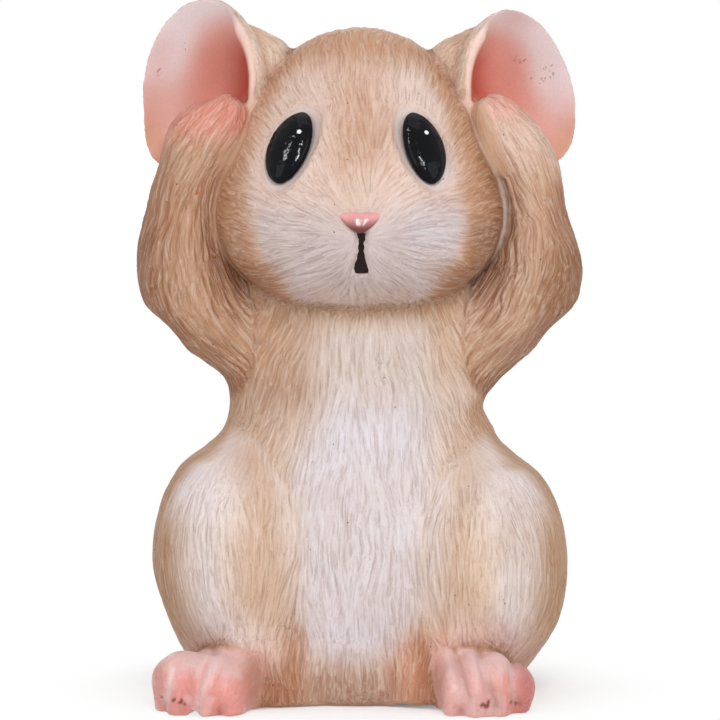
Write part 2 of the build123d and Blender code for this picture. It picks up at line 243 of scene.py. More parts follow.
def makeFloor():
    shape = bmesh.new()
    bmesh.ops.create_circle(shape, cap_ends=True, segments=96, radius=floorWays["radius"])
    mesh = bpy.data.meshes.new("floor")
    shape.to_mesh(mesh)
    shape.free()
    floor = addObject("floor", mesh)
    # painted studio board: matt white near the figure, seen as plain white further out
    material, tree, surface = newMaterial("paintedBoard", {
        "Base Color": colourOf(floorWays["white"]), "Roughness": floorWays["roughness"],
        "Specular IOR Level": floorWays["shine"]})
    place = addNode(tree, "TexCoord")
    length = addNode(tree, "VectorMath", {"operation": "LENGTH"}, {0: place.outputs["Object"]})
    fade = addNode(tree, "MapRange", {"interpolation_type": "SMOOTHSTEP"},
                   {"Value": length.outputs["Value"], "From Min": floorWays["fadeFrom"],
                    "From Max": floorWays["fadeTo"]})
    glow = addNode(tree, "Emission", None, {"Color": (1, 1, 1, 1), "Strength": 1.0})
    share = addNode(tree, "Math", {"operation": "MULTIPLY"}, {0: fade.outputs[0], 1: seenRay(tree)})
    mixed = addNode(tree, "MixShader", None,
                    {0: share.outputs[0], 1: surface.outputs["BSDF"], 2: glow.outputs[0]})
    output = next(node for node in tree.nodes if node.type == "OUTPUT_MATERIAL")
    tree.links.new(mixed.outputs[0], output.inputs["Surface"])
    floor.data.materials.append(material)


makeCamera()
makeLights()
makeFloor()
print("camera, lights and floor")

# The skin: the castings merged into one closed mesh

castings = ["head_shell", "body_shell", "left_arm", "right_arm", "left_ear", "right_ear",
            "left_haunch", "right_haunch", "left_foot", "right_foot", "tail"]
labelOf = {name: index for index, name in enumerate(castings)}
eyeNames, earNames = ("left_eye", "right_eye"), ("left_ear", "right_ear")
skinWays = {
    "voxel": 0.445,  # mm between the skin's points
    "weld": 0.001,                          # mm, what joins the CAD's loose triangles
    "seamBlur": 6,                          # turns that straighten the seams between castings
}


webWays = {   # webs of resin that fill the creases between the body and the feet, mm
    # for each web: x on the foot, how far it stands out there, x on the body
    "spans": [(-28.5, 16.0, -7.0), (21.5, 16.5, 3.0)],
    "heights": (3.0, 6.0, 9.0, 12.0, 16.0),
    "body": (-27.7, -27.7, -26.7, -25.6, -25.0),   # just inside the body's front at these heights
    "shares": (1.0, 0.94, 0.80, 0.42, 0.08),       # how much of the foot's front is left there
    "fall": 7.0,                                   # how much lower the web lies at the body
    "back": -14.0, "bottom": 0.8, "columns": 28, "rows": 20,
    "leftSeam": 15.5, "rightSeam": -20.5,          # x where the webs, cast with the body, meet the feet
}
baseWays = {"forward": 5.0, "top": 15.0, "inner": 8.0, "outer": 20.0}   # mm that the base edge comes forward


def basePull(across, height):
    ways = baseWays
    return ways["forward"] * smoothStep(ways["top"], 1.5, height) * smoothStep(ways["outer"], ways["inner"],
                                                                               np.abs(across))


def webBlock(footX, out, bodyX):  # a closed block whose front runs from the body to the foot
    shape = bmesh.new()
    rings = []
    for t in np.linspace(0, 1, webWays["columns"]):
        across = bodyX + (footX - bodyX) * t
        height = np.linspace(webWays["bottom"], webWays["heights"][-1], webWays["rows"])
        share = np.interp(height + webWays["fall"] * (1 - t), webWays["heights"], webWays["shares"])
        front = np.interp(height, webWays["heights"], webWays["body"]) - out * t ** 1.3 * share
        front = front + basePull(across, height)
        outline = [*zip(front, height), *((webWays["back"], z) for z in height[::-1])]
        rings.append([shape.verts.new((across * mm, y * mm, z * mm)) for y, z in outline])
    joinRings(shape, rings)
    for end in (rings[0], rings[-1]):
        shape.faces.new(end)
    bmesh.ops.recalc_face_normals(shape, faces=shape.faces)
    return shape


def moveInto(together, shape):  # adds one mesh in the making to another
    mesh = bpy.data.meshes.new("part")
    shape.to_mesh(mesh)
    shape.free()
    together.from_mesh(mesh)
    bpy.data.meshes.remove(mesh)


def mergedSkin():  # one closed mesh, and a tree that tells which casting is nearest
    together = bmesh.new()
    counts = []
    for name in castings + ["base_plug"]:
        copy = bmesh.new()
        copy.from_mesh(nodes[name].data)
        bmesh.ops.remove_doubles(copy, verts=copy.verts, dist=skinWays["weld"] * mm)
        moveInto(together, copy)
        counts.append(len(together.faces))
    tree = BVHTree.FromBMesh(together)
    for span in webWays["spans"]:
        moveInto(together, webBlock(*span))
    mesh = bpy.data.meshes.new("together")
    together.to_mesh(mesh)
    together.free()
    holder = addObject("together", mesh)
    remesh = holder.modifiers.new("Remesh", "REMESH")
    remesh.mode, remesh.voxel_size, remesh.adaptivity = "VOXEL", skinWays["voxel"] * mm, 0
    skin = bpy.data.meshes.new_from_object(holder.evaluated_get(bpy.context.evaluated_depsgraph_get()))
    bpy.data.objects.remove(holder)
    bpy.data.meshes.remove(mesh)
    return skin, tree, np.array(counts)


def readMesh(mesh):  # points in mm and edges as arrays
    points = np.empty(len(mesh.vertices) * 3)
    mesh.vertices.foreach_get("co", points)
    edges = np.empty(len(mesh.edges) * 2, np.int32)
    mesh.edges.foreach_get("vertices", edges)
    return points.reshape(-1, 3) / mm, edges.reshape(-1, 2)


def writePoints(mesh, points):
    mesh.vertices.foreach_set("co", (points * mm).astype(np.float32).ravel())
    mesh.update()


def readNormals(mesh):
    normals = np.empty(len(mesh.vertices) * 3)
    mesh.vertex_normals.foreach_get("vector", normals)
    return normals.reshape(-1, 3)


def keepLargest(mesh):  # drops the castings' inner walls, which the remesh leaves as shells
    _, edges = readMesh(mesh)
    label = np.arange(len(mesh.vertices))
    while True:
        low = np.minimum(label[edges[:, 0]], label[edges[:, 1]])
        fresh = label.copy()
        np.minimum.at(fresh, edges[:, 0], low)
        np.minimum.at(fresh, edges[:, 1], low)
        fresh = fresh[fresh]
        if (fresh == label).all():
            break
        label = fresh
    names, sizes = np.unique(label, return_counts=True)
    lost = label != names[sizes.argmax()]
    shape = bmesh.new()
    shape.from_mesh(mesh)
    shape.verts.ensure_lookup_table()
    bmesh.ops.delete(shape, geom=[shape.verts[i] for i in np.flatnonzero(lost)], context="VERTS")
    shape.to_mesh(mesh)
    shape.free()
    print("skin shells", len(names), "kept", sizes.max())


def nodePoints(name):  # a CAD node's points in mm
    return readMesh(nodes[name].data)[0]


def nodeAxes(name):  # a CAD node's middle, its axes from the longest to the thinnest, and its half sizes
    points = nodePoints(name)
    middle = (points.max(0) + points.min(0)) / 2
    _, _, axes = np.linalg.svd(points - points.mean(0), full_matrices=False)
    spread = (points - middle) @ axes.T
    return middle, axes, (spread.max(0) - spread.min(0)) / 2


skin, nearest, faceCounts = mergedSkin()
keepLargest(skin)
points, edges = readMesh(skin)
found = np.array([nearest.find_nearest(point * mm)[2] for point in points])
label = np.searchsorted(faceCounts, found, side="right")
label[label == len(castings)] = labelOf["body_shell"]   # the plug's underside
label[(label == labelOf["left_foot"]) & (points[:, 0] < webWays["leftSeam"])] = labelOf["body_shell"]
label[(label == labelOf["right_foot"]) & (points[:, 0] > webWays["rightSeam"])] = labelOf["body_shell"]
everywhere = np.full(len(points), 0.5)
votes = relax(np.eye(len(castings))[label], edges, everywhere, skinWays["seamBlur"])
label = votes.argmax(1)
print("skin points", len(points), "faces", len(skin.polygons))

# Soft and crisp seams

seamWays = {  # what meets: (mm that the softening reaches, turns)
    "hip": (8.0, 90), "shoulder": (9.0, 130), "earRoot": (4.5, 40), "ankle": (4.0, 45),
    "tailRoot": (3.0, 20), "neck": (6.0, 90), "armHead": (3.2, 34), "armEar": (2.4, 14),
}
pawWays = {"reach": 6.0, "turns": 60}   # the right paw runs into the head without a groove
innerAnkleWays = {"reach": 8.8, "turns": 26, "left": 22.0, "right": 29.0, "soft": 6.0, "ground": 1.6}
armpit = 86.0                  # mm, above it the arms meet the head
farSeam, nearSeam = 14.0, 9.0  # mm from the hips' and the other seams that are measured
wideWays = {"hip": (14.0, 60), "shoulder": (8.0, 10), "cell": 2.0, "settle": 40}
lengths = np.linalg.norm(points[edges[:, 0]] - points[edges[:, 1]], axis=1)
kinds = np.array([name.split("_")[-1] for name in castings])[label]


def touching(first, second):  # the points on the seams between two groups of points
    near, far = edges.T
    hits = edges[(first[near] & second[far]) | (second[near] & first[far])]
    start = np.zeros(len(points), bool)
    start[hits.ravel()] = True
    return start


def meeting(first, second):  # the same for two kinds of casting
    return touching(kinds == first, kinds == second)


seams = {
    "hip": meeting("haunch", "shell"), "shoulder": meeting("arm", "shell") & (points[:, 2] < armpit),
    "earRoot": meeting("ear", "shell"), "ankle": meeting("foot", "haunch") | meeting("foot", "shell"),
    "tailRoot": meeting("tail", "shell") | meeting("tail", "haunch"),
    "armHead": meeting("arm", "shell") & (points[:, 2] >= armpit), "armEar": meeting("arm", "ear"),
}
isHead, isBody = label == labelOf["head_shell"], label == labelOf["body_shell"]
seams["neck"] = touching(isHead, isBody)
seamGap = {name: seamDistance(edges, lengths, start, farSeam if name == "hip" else nearSeam)
           for name, start in seams.items()}


def wideRelax(places, weight, turns):  # like relax but over cells of several points, for long soft blends
    _, group = np.unique(cellKeys(places, wideWays["cell"]), return_inverse=True)
    size = np.bincount(group)
    middles = groupSums(group, places) / size[:, None]
    pairs = np.unique(np.sort(group[edges], 1), axis=0)
    pairs = pairs[pairs[:, 0] != pairs[:, 1]]
    moved = relax(middles, pairs, np.bincount(group, weight) / size, turns)
    return places + relax((moved - middles)[group], edges, everywhere, wideWays["settle"])


points = relax(points, edges, everywhere, 2)
for name in ("hip", "shoulder"):
    reach, turns = wideWays[name]
    aboveFeet = smoothStep(3.0, 9.0, points[:, 2])
    points = wideRelax(points, 0.5 * smoothStep(reach, reach * 0.3, seamGap[name]) * aboveFeet, turns)
inwards = np.where(points[:, 0] > 0, innerAnkleWays["left"], innerAnkleWays["right"]) - np.abs(points[:, 0])
weight = smoothStep(innerAnkleWays["reach"], 3.0, seamGap["ankle"])
weight = weight * smoothStep(0, innerAnkleWays["soft"], inwards)
moved = wideRelax(points, 0.5 * weight, innerAnkleWays["turns"])
moved[:, 2] = np.where(points[:, 2] < innerAnkleWays["ground"], points[:, 2], moved[:, 2])
points = moved
for name, (reach, turns) in seamWays.items():
    weight = 0.5 * smoothStep(reach, reach * 0.3, seamGap[name])
    points = relax(points, edges, weight, turns)
atPaw = smoothStep(pawWays["reach"], 1.5, seamGap["armHead"])
atPaw *= np.where(points[:, 0] < 0, 1, 0.5 * smoothStep(112, 118, points[:, 2]))
points = relax(points, edges, 0.5 * atPaw * smoothStep(4, -6, points[:, 1]), pawWays["turns"])
print("seams softened")

# Filling the eye, nose and mouth pockets, which their own pieces cover

pocketWays = {"over": 1.35, "turns": 160}
faceNodes = [*eyeNames, "nose", "mouth_inlay"]
faceAxes = {name: nodeAxes(name) for name in faceNodes}


def ringShare(name, places):  # 1 on the outline of a node of the face, less inside it
    middle, axes, half = faceAxes[name]
    local = (places - middle) @ axes.T
    ring = np.hypot(local[:, 0] / half[0], local[:, 1] / half[1])
    return np.where((places[:, 1] < 0) & isHead, ring, 9.0)


for name in faceNodes:
    weight = 0.5 * smoothStep(pocketWays["over"], 1.1, ringShare(name, points))
    points = relax(points, edges, weight, pocketWays["turns"])

# Flatter toes, whose grooves are then drawn, and a base that reaches forward between the feet
toeWays = {"turns": {"left_foot": 50, "right_foot": 140}}
for name, turns in toeWays["turns"].items():
    mine = (label == labelOf[name]) & (points[:, 1] < -18)
    points = relax(points, edges, 0.5 * mine * smoothStep(1.4, 3.0, points[:, 2]), turns)
points[:, 1] -= smoothStep(0, -14, points[:, 1]) * basePull(points[:, 0], points[:, 2])

# Listed pulls that bring the outline to the photograph's

warpWays = [  # (kind of casting or all, centre, reach, shift), mm
    ("all", (21, 0, 145), (12, 14, 12), (0, 0, -2.4)),            # flatter behind the ears
    ("all", (-21, 0, 145), (12, 14, 12), (0, 0, -2.4)),
    ("arm", (-37, -12, 122), (10, 12, 10), (-1.6, 0, 1.6)),       # broader right paw
    ("arm", (47, -4, 105), (11, 18, 15), (-1.9, 0, 0)),           # outer sides of the arms
    ("arm", (43, -2, 78), (11, 18, 8), (-2.2, 0, 0.6)),
    ("arm", (-43, -2, 78), (11, 18, 8), (2.3, 0, 0.6)),
    ("all", (31, 0, 69), (9, 16, 6), (1.4, 0, 0)),
    ("all", (29, 0, 61), (9, 16, 5), (-1.3, 0, 0)),
    ("haunch", (-43, 0, 14), (11, 24, 16), (1.6, 0, 0)),
    ("haunch", (38, 0, 8), (11, 24, 10), (-1.3, 0, 0)),
    ("foot", (-43, -38, 11), (11, 16, 10), (-1.7, 0, 1.3)),       # broader feet
    ("foot", (36, -38, 6), (9, 16, 9), (1.9, 0, 0)),
]
earWarpWays = [
    ("ear", (43, 3, 141), (18, 18, 20), (-1.7, 0, -0.6)),         # left ear: narrower above, wider below
    ("ear", (34, 0, 148), (12, 16, 10), (0, 0, -0.9)),
    ("ear", (44, 3, 117), (8, 14, 9), (0.9, 0, -0.6)),
    ("ear", (-45, 3, 113), (9, 14, 13), (-1.8, 0, -1.2)),         # right ear: wider below
]


def pulled(places, ways):
    for kind, centre, reach, shift in ways:
        share = spot(places, centre, reach)
        if kind != "all":
            mask = relax((kinds == kind).astype(float)[:, None], edges, everywhere, 5)[:, 0]
            share = share * mask
        places = places + share[:, None] * np.array(shift)
    return places


points = pulled(points, warpWays)
writePoints(skin, points)
normals = readNormals(skin)
print("pockets filled")

# Modelling the face, paws and ears

earWays = {"turn": 32.0, "lean": 17.0}   # degrees


def axisOf(name):  # an ear's opening direction, from how its casting lies about the head
    side = 1 if name.startswith("left") else -1
    turn, lean = math.radians(earWays["turn"]), math.radians(earWays["lean"])
    return np.array((side * math.sin(turn), -math.cos(turn), 0.0)), side, lean


sculptWays = [  # (centre, reach, mm outwards)
    ((19, -20, 101), (15, 16, 15), 1.6),     # cheeks
    ((-19, -20, 101), (15, 16, 15), 1.6),
    ((0, -31, 102), (14, 14, 12), 1.5),      # muzzle
    ((0, -27, 91), (12, 12, 6), -0.6),       # under the mouth
    ((0, -24, 122), (7, 16, 16), -0.5),      # between the eyes
]
for centre, reach, amount in sculptWays:
    share = spot(points, centre, reach) * isHead
    points = points + normals * (amount * share)[:, None]
for name in eyeNames:  # a shallow socket round each eye
    ring = ringShare(name, points)
    points = points - normals * (0.2 * smoothStep(1.25, 1.0, ring))[:, None]
writePoints(skin, points)
normals = readNormals(skin)


def earPlace(name):  # share of the outline, place across and up, and how far each point faces into the cup
    axis, side, lean = axisOf(name)
    up = np.array((-side * math.sin(lean), 0, math.cos(lean)))
    up = unit(up - (up @ axis) * axis)
    across = np.cross(up, axis)
    across = across * (1 if across[0] * side > 0 else -1)
    local = points - earMiddle[name]
    u, v = local @ across, local @ up
    ring = np.hypot(u / earSizes[name][0], v / earSizes[name][1])
    radial = unit(u[:, None] * across + v[:, None] * up)
    facing = normals @ axis - 0.9 * (normals * radial).sum(1)
    return ring, u / earSizes[name][0], v / earSizes[name][1], facing


earMiddle = {"left_ear": np.array((34.1, -4.0, 130.0)), "right_ear": np.array((-34.1, -4.0, 130.8))}
earSizes = {"left_ear": (14.6, 18.6), "right_ear": (14.6, 19.4)}
inEar = np.zeros(len(points))
earRing, earAcross, earUp = np.full(len(points), 9.0), np.zeros(len(points)), np.zeros(len(points))
for name in earNames:
    ring, across, up, facing = earPlace(name)
    mine = label == labelOf[name]
    earRing[mine], earAcross[mine], earUp[mine] = ring[mine], across[mine], up[mine]
    inEar[mine] = (smoothStep(-0.15, 0.35, facing) * smoothStep(1.08, 0.98, ring))[mine]

cupWays = {"depth": 9.0, "edge": 0.2, "turns": 8}
for name in earNames:  # a smooth cup that runs out to a thin outer edge
    mine = label == labelOf[name]
    axis = axisOf(name)[0]
    level = (points - earMiddle[name]) @ axis
    cup = cupWays["edge"] - cupWays["depth"] * np.clip(1 - earRing ** 2, 0, 1)
    atTop = smoothStep(0.2, 0.6, earUp) * smoothStep(-0.45, -0.10, earAcross)
    outerSide = np.maximum(smoothStep(-0.30, 0.15, earAcross), atTop)
    upper = np.maximum(inEar, smoothStep(-0.3, 0.2, level) * smoothStep(0.70, 0.78, earRing))
    points = points + ((cup - level) * outerSide * upper * mine)[:, None] * axis
    points = relax(points, edges, 0.5 * mine * outerSide * smoothStep(0.70, 0.82, earRing), cupWays["turns"])
    inEar = np.maximum(inEar, upper * outerSide * mine * smoothStep(1.02, 0.98, earRing))
points = pulled(points, earWarpWays)

grooveWays = {  # (from x, z, to x, z, half width, depth), mm, on the front of the feet
    "right_foot": [(-31.4, 12.0, -35.4, 0.8, 1.0, 1.1), (-39.8, 10.5, -41.8, 2.5, 0.8, 0.45)],
    "left_foot": [(20.0, 12.6, 22.6, 4.5, 0.8, 0.9), (25.6, 12.8, 28.8, 2.2, 0.8, 0.8),
                  (32.6, 10.5, 33.6, 2.2, 0.8, 0.7)],
}
toeLine = np.zeros(len(points))


def segmentGap(a, b, x0, z0, x1, z1):  # how far places in the front view are from a drawn line
    dx, dz = x1 - x0, z1 - z0
    t = np.clip(((a - x0) * dx + (b - z0) * dz) / (dx * dx + dz * dz), 0, 1)
    return np.hypot(a - x0 - t * dx, b - z0 - t * dz)


for name, lines in grooveWays.items():
    mine = (label == labelOf[name]) & (points[:, 1] < -20)
    for x0, z0, x1, z1, halfWidth, deep in lines:
        share = mine * np.exp(-(segmentGap(points[:, 0], points[:, 2], x0, z0, x1, z1) / halfWidth) ** 2)
        points = points - normals * (deep * share)[:, None]
        toeLine = np.maximum(toeLine, share)
thumbWays = {"line": (25.4, 127.0, 30.4, 114.5), "half": 1.7, "out": 0.3}
thumbGap = segmentGap(points[:, 0], points[:, 2], *thumbWays["line"])
thumb = (points[:, 1] < 2) * smoothStep(thumbWays["half"] + 0.6, thumbWays["half"] - 0.4, thumbGap)
points = points + normals * (thumbWays["out"] * thumb)[:, None]

mouthWays = {  # mm: middle, then height and half width from the top down, and how deep it is carved
    "x": 0.3, "rows": [(102.9, 0.95), (101.8, 0.85), (100.6, 0.62), (99.2, 0.66), (97.6, 0.95), (96.2, 1.55),
                       (95.0, 1.75), (94.3, 1.62), (93.9, 1.30)],
    "groove": 0.55,
}


def mouthWidth(heights):
    rows = np.array(mouthWays["rows"])[::-1]
    return np.interp(heights, rows[:, 0], rows[:, 1])


lowest, highest = mouthWays["rows"][-1][0], mouthWays["rows"][0][0]
over = np.abs(points[:, 0] - mouthWays["x"]) - mouthWidth(points[:, 2])
ends = smoothStep(lowest - 0.9, lowest, points[:, 2]) * smoothStep(highest + 1.0, highest, points[:, 2])
carved = isHead * (points[:, 1] < -10) * smoothStep(0.9, -0.2, over) * ends
points = points - normals * (mouthWays["groove"] * carved)[:, None]
writePoints(skin, points)
normals = readNormals(skin)

# Combed fur: the way that the strokes run, and strokes carved along it

armPath = np.array([(13, 3, 68), (24, 1, 75), (33, -3, 84), (37.8, -6.5, 96), (36.5, -10, 108),
                    (31, -12, 119), (26, -12.4, 127)], float)
zones = {
    "head": ["head_shell"], "body": ["body_shell"], "arms": ["left_arm", "right_arm"],
    "ears": ["left_ear", "right_ear"], "haunches": ["left_haunch", "right_haunch"],
    "feet": ["left_foot", "right_foot"], "tail": ["tail"],
}
zoneNames = list(zones)
zoneShare = np.stack([np.isin(label, [labelOf[name] for name in zones[zone]]) for zone in zoneNames], 1)
zoneShare = zoneShare.astype(float)
blended = relax(zoneShare, edges, 0.5 * (seamGap["hip"] < 5.9), 60)
blended = relax(blended, edges, 0.5 * (seamGap["shoulder"] < 2.5), 12)
zoneShare = relax(blended, edges, everywhere, 3)


flowWays = {   # mm, on the left side: where the strokes start or end
    "muzzle": (0, -37, 102), "earRoot": (24, 4, 122), "knee": (23, -13, 60), "heel": (25, -22, 0),
    "overToes": (0.2, -1.0, -0.35),
}


def sidesOf(p):  # -1 or 1 across for each point's side, and 1 for the other two directions
    return np.concatenate((np.sign(p[:, :1]), np.ones((len(p), 2))), 1)


def headFlow(p):
    back = smoothStep(0, 22, p[:, 1])[:, None]
    away = unit(p - np.array(flowWays["muzzle"]))
    return away * (1 - back) + np.array((0, 0.3, -1.0)) * back


def bodyFlow(p):
    fan = (smoothStep(34, 78, p[:, 2]) / 24)[:, None]
    return np.concatenate((p[:, :1] * fan, p[:, 1:2] * fan * 0.6, -np.ones((len(p), 1))), 1)


def armFlow(p):
    sides = sidesOf(p)
    middles, along = (armPath[1:] + armPath[:-1]) / 2, unit(armPath[1:] - armPath[:-1])
    gaps = np.linalg.norm((p * sides)[:, None] - middles[None], axis=2)
    share = np.exp(-(gaps - gaps.min(1, keepdims=True)) / 3.0)
    flow = -(share[:, :, None] * along[None]).sum(1)
    return flow * sides


def earFlow(p):
    return unit(p - sidesOf(p) * flowWays["earRoot"])


def haunchFlow(p):
    sides = sidesOf(p)
    fromKnee, toHeel = p - sides * flowWays["knee"], sides * flowWays["heel"] - p
    return fromKnee / (fromKnee ** 2).sum(1, keepdims=True) + toHeel / (toHeel ** 2).sum(1, keepdims=True)


def footFlow(p):
    return sidesOf(p) * flowWays["overToes"]


def tailFlow(p):
    return np.concatenate((-p[:, 1:2], p[:, :1], np.zeros((len(p), 1))), 1)


flowOf = dict(zip(zoneNames, (headFlow, bodyFlow, armFlow, earFlow, haunchFlow, footFlow, tailFlow)))
members = {zone: np.flatnonzero(zoneShare[:, i] > 0.02) for i, zone in enumerate(zoneNames)}
strokeWays = {  # mm: how thick the strokes are, how long, and how far they wander
    "fine": {"cell": 0.40, "reach": 4.2, "step": 0.42},
    "coarse": {"cell": 0.85, "reach": 7.0, "step": 0.70},
    "fineShare": 0.9, "coarseShare": 0.4, "wander": 0.30, "wanderCell": 5.0,
}


def flowAt(places):
    flow = np.zeros_like(places)
    for i, zone in enumerate(zoneNames):
        mine = members[zone]
        flow[mine] += unit(flowOf[zone](places[mine])) * zoneShare[mine, i][:, None]
    return flow


turn = strokeWays["wander"] * 2 * (valueNoise(points, strokeWays["wanderCell"], 3) - 0.5)
cosine, sine = np.cos(turn)[:, None], np.sin(turn)[:, None]


def combed(ways, shift):  # noise smeared along the flow, from about -2 to 2
    total, share = np.zeros(len(points)), 0.0
    count = int(ways["reach"] / ways["step"])
    for way in (1, -1):
        places = points.copy()
        for step in range(count):
            weight = math.cos(math.pi / 2 * step / count) ** 2 * (0.5 if step == 0 else 1)
            total += weight * valueNoise(places, ways["cell"], shift)
            share += weight
            along = alongSurface(flowAt(places), normals)
            along = along * cosine + np.cross(normals, along) * sine
            places += along * (way * ways["step"])
    total /= share
    return (total - total.mean()) / total.std()


fine = combed(strokeWays["fine"], 0)
coarse = combed(strokeWays["coarse"], 5)
stroke = strokeWays["fineShare"] * fine + strokeWays["coarseShare"] * coarse
flow = alongSurface(flowAt(points), normals)
flow = flow * cosine + np.cross(normals, flow) * sine
print("strokes combed")

# How deep the strokes are from place to place

reliefWays = {   # mm: how deep the strokes are, then shares of that, and mm for the lumps between them
    "depths": {"head": 0.13, "body": 0.15, "arms": 0.18, "ears": 0.13, "haunches": 0.15, "feet": 0.04,
               "tail": 0.03},
    "ridge": 0.75, "groove": 1.15, "lump": 0.10, "lumpCell": 2.2,
}
soleWays = {"felt": 24.0, "down": 0.65}   # mm: beside the felt, edge and soles come down nearly to the table


def zoneOf(name):
    return zoneShare[:, zoneNames.index(name)]


x, y, z = points.T
front = smoothStep(8, -12, y)
facingFront = np.clip(-normals[:, 1], 0, 1)
depth = sum(deep * zoneOf(zone) for zone, deep in reliefWays["depths"].items())
depth *= 1 - inEar
depth *= 1 - 0.5 * smoothStep(12, 4, np.linalg.norm(points - np.array((0, -35, 104)), axis=1))
for name in eyeNames:
    depth *= smoothStep(1.0, 1.35, ringShare(name, points))
depth *= smoothStep(0.2, 1.6, np.minimum(seamGap["armHead"], seamGap["armEar"]))
depth *= 1 - 0.6 * zoneOf("haunches") * smoothStep(42, 54, z)
depth *= 1 - 0.7 * thumb
depth *= smoothStep(0.9, 1.6, z)
groove = smoothStep(0.35, -1.5, stroke)
ridge = smoothStep(-0.2, 1.6, stroke)
lump = valueNoise(points, reliefWays["lumpCell"], 9) - 0.5
relief = depth * (reliefWays["ridge"] * ridge - reliefWays["groove"] * groove)
relief = relief + reliefWays["lump"] * lump * (1 - inEar * 0.5)
points = points + normals * relief[:, None]
points[:, 2] = np.maximum(points[:, 2], 0.8)
beside = smoothStep(soleWays["felt"], soleWays["felt"] + 1.0, np.hypot(points[:, 0], points[:, 1]))
crumbly = isBody * smoothStep(6, 9, points[:, 0]) * smoothStep(18, 15, points[:, 0])
points[:, 2] -= soleWays["down"] * beside * smoothStep(2.4, 0.8, points[:, 2]) * (1 - crumbly)
writePoints(skin, points)
normals = readNormals(skin)

# Hollows and ridges of the finished relief, for the wash and the painted shade in the hollows, wiped off the
# high places
smoothed = relax(points, edges, everywhere, 10)
hollow = ((smoothed - points) * normals).sum(1)
broad = relax(points, edges, everywhere, 60)
broadHollow = ((broad - points) * normals).sum(1)
print("relief carved")

# Paint

paint = np.tile(parts255("#c49a7c"), (len(points), 1))


def brush(hexValue, share):
    global paint
    share = np.clip(share, 0, 1)[:, None]
    paint = paint * (1 - share) + parts255(hexValue) * share


x, y, z = points.T
side = np.abs(x)
head, body, arms, ears = zoneOf("head"), zoneOf("body"), zoneOf("arms"), zoneOf("ears")
haunches, feet, tail = zoneOf("haunches"), zoneOf("feet"), zoneOf("tail")

# head: tan crown and sides, whitish face with a faint tan stripe between the eyes
limit = np.interp(z, (88, 96, 104, 114, 127, 137, 142), (14, 20, 22.5, 24.5, 20.5, 13, 4))
limit -= np.interp(z, (104, 112, 130, 137), (0, 3, 2, 0)) * (x > 0)
face = head * front * smoothStep(limit + 3.0, limit - 2.5, side) * smoothStep(141, 133, z)
brush("#bd8f70", head)
brush("#8f5f38", head * smoothStep(22, 28, x) * smoothStep(-26, -14, y) * smoothStep(130, 118, z) * 0.9)
brush("#a5764e", head * smoothStep(23, 29, -x) * smoothStep(-26, -14, y) * smoothStep(126, 114, z) * 0.4)
brush("#d8bcaf", face)
brush("#c2b3b2", face * 0.9 * smoothStep(114, 102, z))
brush("#c69c84", face * 0.9 * spot(points, (0, -26, 124), (11, 30, 27)))
brush("#d3baab", face * 0.8 * spot(points, (0, -31, 111), (7, 20, 8)))
brush("#dfc9c0", face * 0.7 * spot(points, (14, -20, 131), (10, 24, 10)))
brush("#cbc0c6", face * 0.8 * spot(points, (15, -28, 103), (10, 24, 9)))
jowls = 0.8 * smoothStep(21, 26, x) + 0.3 * smoothStep(21, 26, -x)
brush("#94684c", head * smoothStep(109, 100, z) * jowls)
brush("#956a4d", head * smoothStep(13, 21, side) * smoothStep(99, 91, z) * 0.8)
brush("#cbb4a9", head * smoothStep(14, 8, side) * smoothStep(93, 87, z) * 0.8)
brush("#d2a88f", head * 0.55 * spot(points, (-24, -14, 125), (7, 20, 10)))
# body: whitish chest and belly, tan beside them, under the chin and at the base
brush("#bd9374", body)
# painted light: the body's front paler where it faces the front
brush("#d6bfb0", body * front * smoothStep(0.35, 0.8, facingFront))
chestSide = side + 4.5 * smoothStep(2, -6, x) * smoothStep(44, 62, z)
brush("#d0c1ba", body * front * smoothStep(21, 10, chestSide) * smoothStep(4, 14, z))
brush("#d8d0d7", body * front * smoothStep(19, 9, chestSide) * smoothStep(72, 56, z) * smoothStep(3, 14, z))
brush("#c09a7c", body * smoothStep(77, 86, z) * 0.85)
brush("#b7937b", body * front * smoothStep(4, 16, -x) * smoothStep(52, 70, z) * 0.9)
flank = np.where(x > 0, 0.45, 0.7)
brush("#c69c7c", body * front * smoothStep(12, 19, side) * smoothStep(62, 76, z) * flank)
brush("#a8836f", body * smoothStep(15, 5, z) * 0.85)
# arms: tan, browner outside, salmon where the paw lies in the ear; painted light where they face the front,
# painted shade on their sides below the elbow and on their undersides
brush("#b88c6f", arms)
# painted light: the arms lighter where they face the front
brush("#bf967a", arms * facingFront * 0.9)
brush("#c8a389", arms * facingFront * 0.8 * (x > 0) * smoothStep(43, 34, side))
# painted shade: the arms browner where they turn sideways below the elbow
brush("#98694c", arms * smoothStep(0.15, 0.80, np.abs(normals[:, 0])) * smoothStep(118, 100, z))
brush("#946849", arms * np.where(x > 0, 0.9, 0.25) * smoothStep(34, 42, side) * smoothStep(112, 96, z))
# painted shade on the arms' undersides
brush("#98694c", arms * 0.45 * smoothStep(-0.1, -0.8, normals[:, 2]))
brush("#d28877", arms * smoothStep(117, 126, z) * (x < 0))
brush("#a07254", arms * 0.55 * spot(points, (-39, -8, 111), (9, 30, 11)))
brush("#c69a82", arms * 0.5 * spot(points, (39, -10, 100), (8, 30, 12)))
brush("#d7b5a4", arms * smoothStep(108, 120, z) * 0.9 * (x > 0))
brush("#d98f7f", arms * smoothStep(123, 128, z) * 0.6 * (x > 0))
brush("#c39c80", thumb * 0.9)
brush("#dcc0ae", thumb * smoothStep(1.4, 2.2, thumbGap) * 0.6)
# haunches: whitish in the middle and tan at the edges, partly as painted light and shade by how they face
# the front, tan inside, pink above the feet
brush("#b58c6c", haunches)
# painted light: whitish where the haunches face the front, the tan edges left as painted shade
brush("#dccdc8", haunches * smoothStep(0.30, 0.80, facingFront) * smoothStep(2, 14, z))
brush("#e6d8d7", haunches * smoothStep(32, 47, z) * front * smoothStep(0.1, 0.4, facingFront))
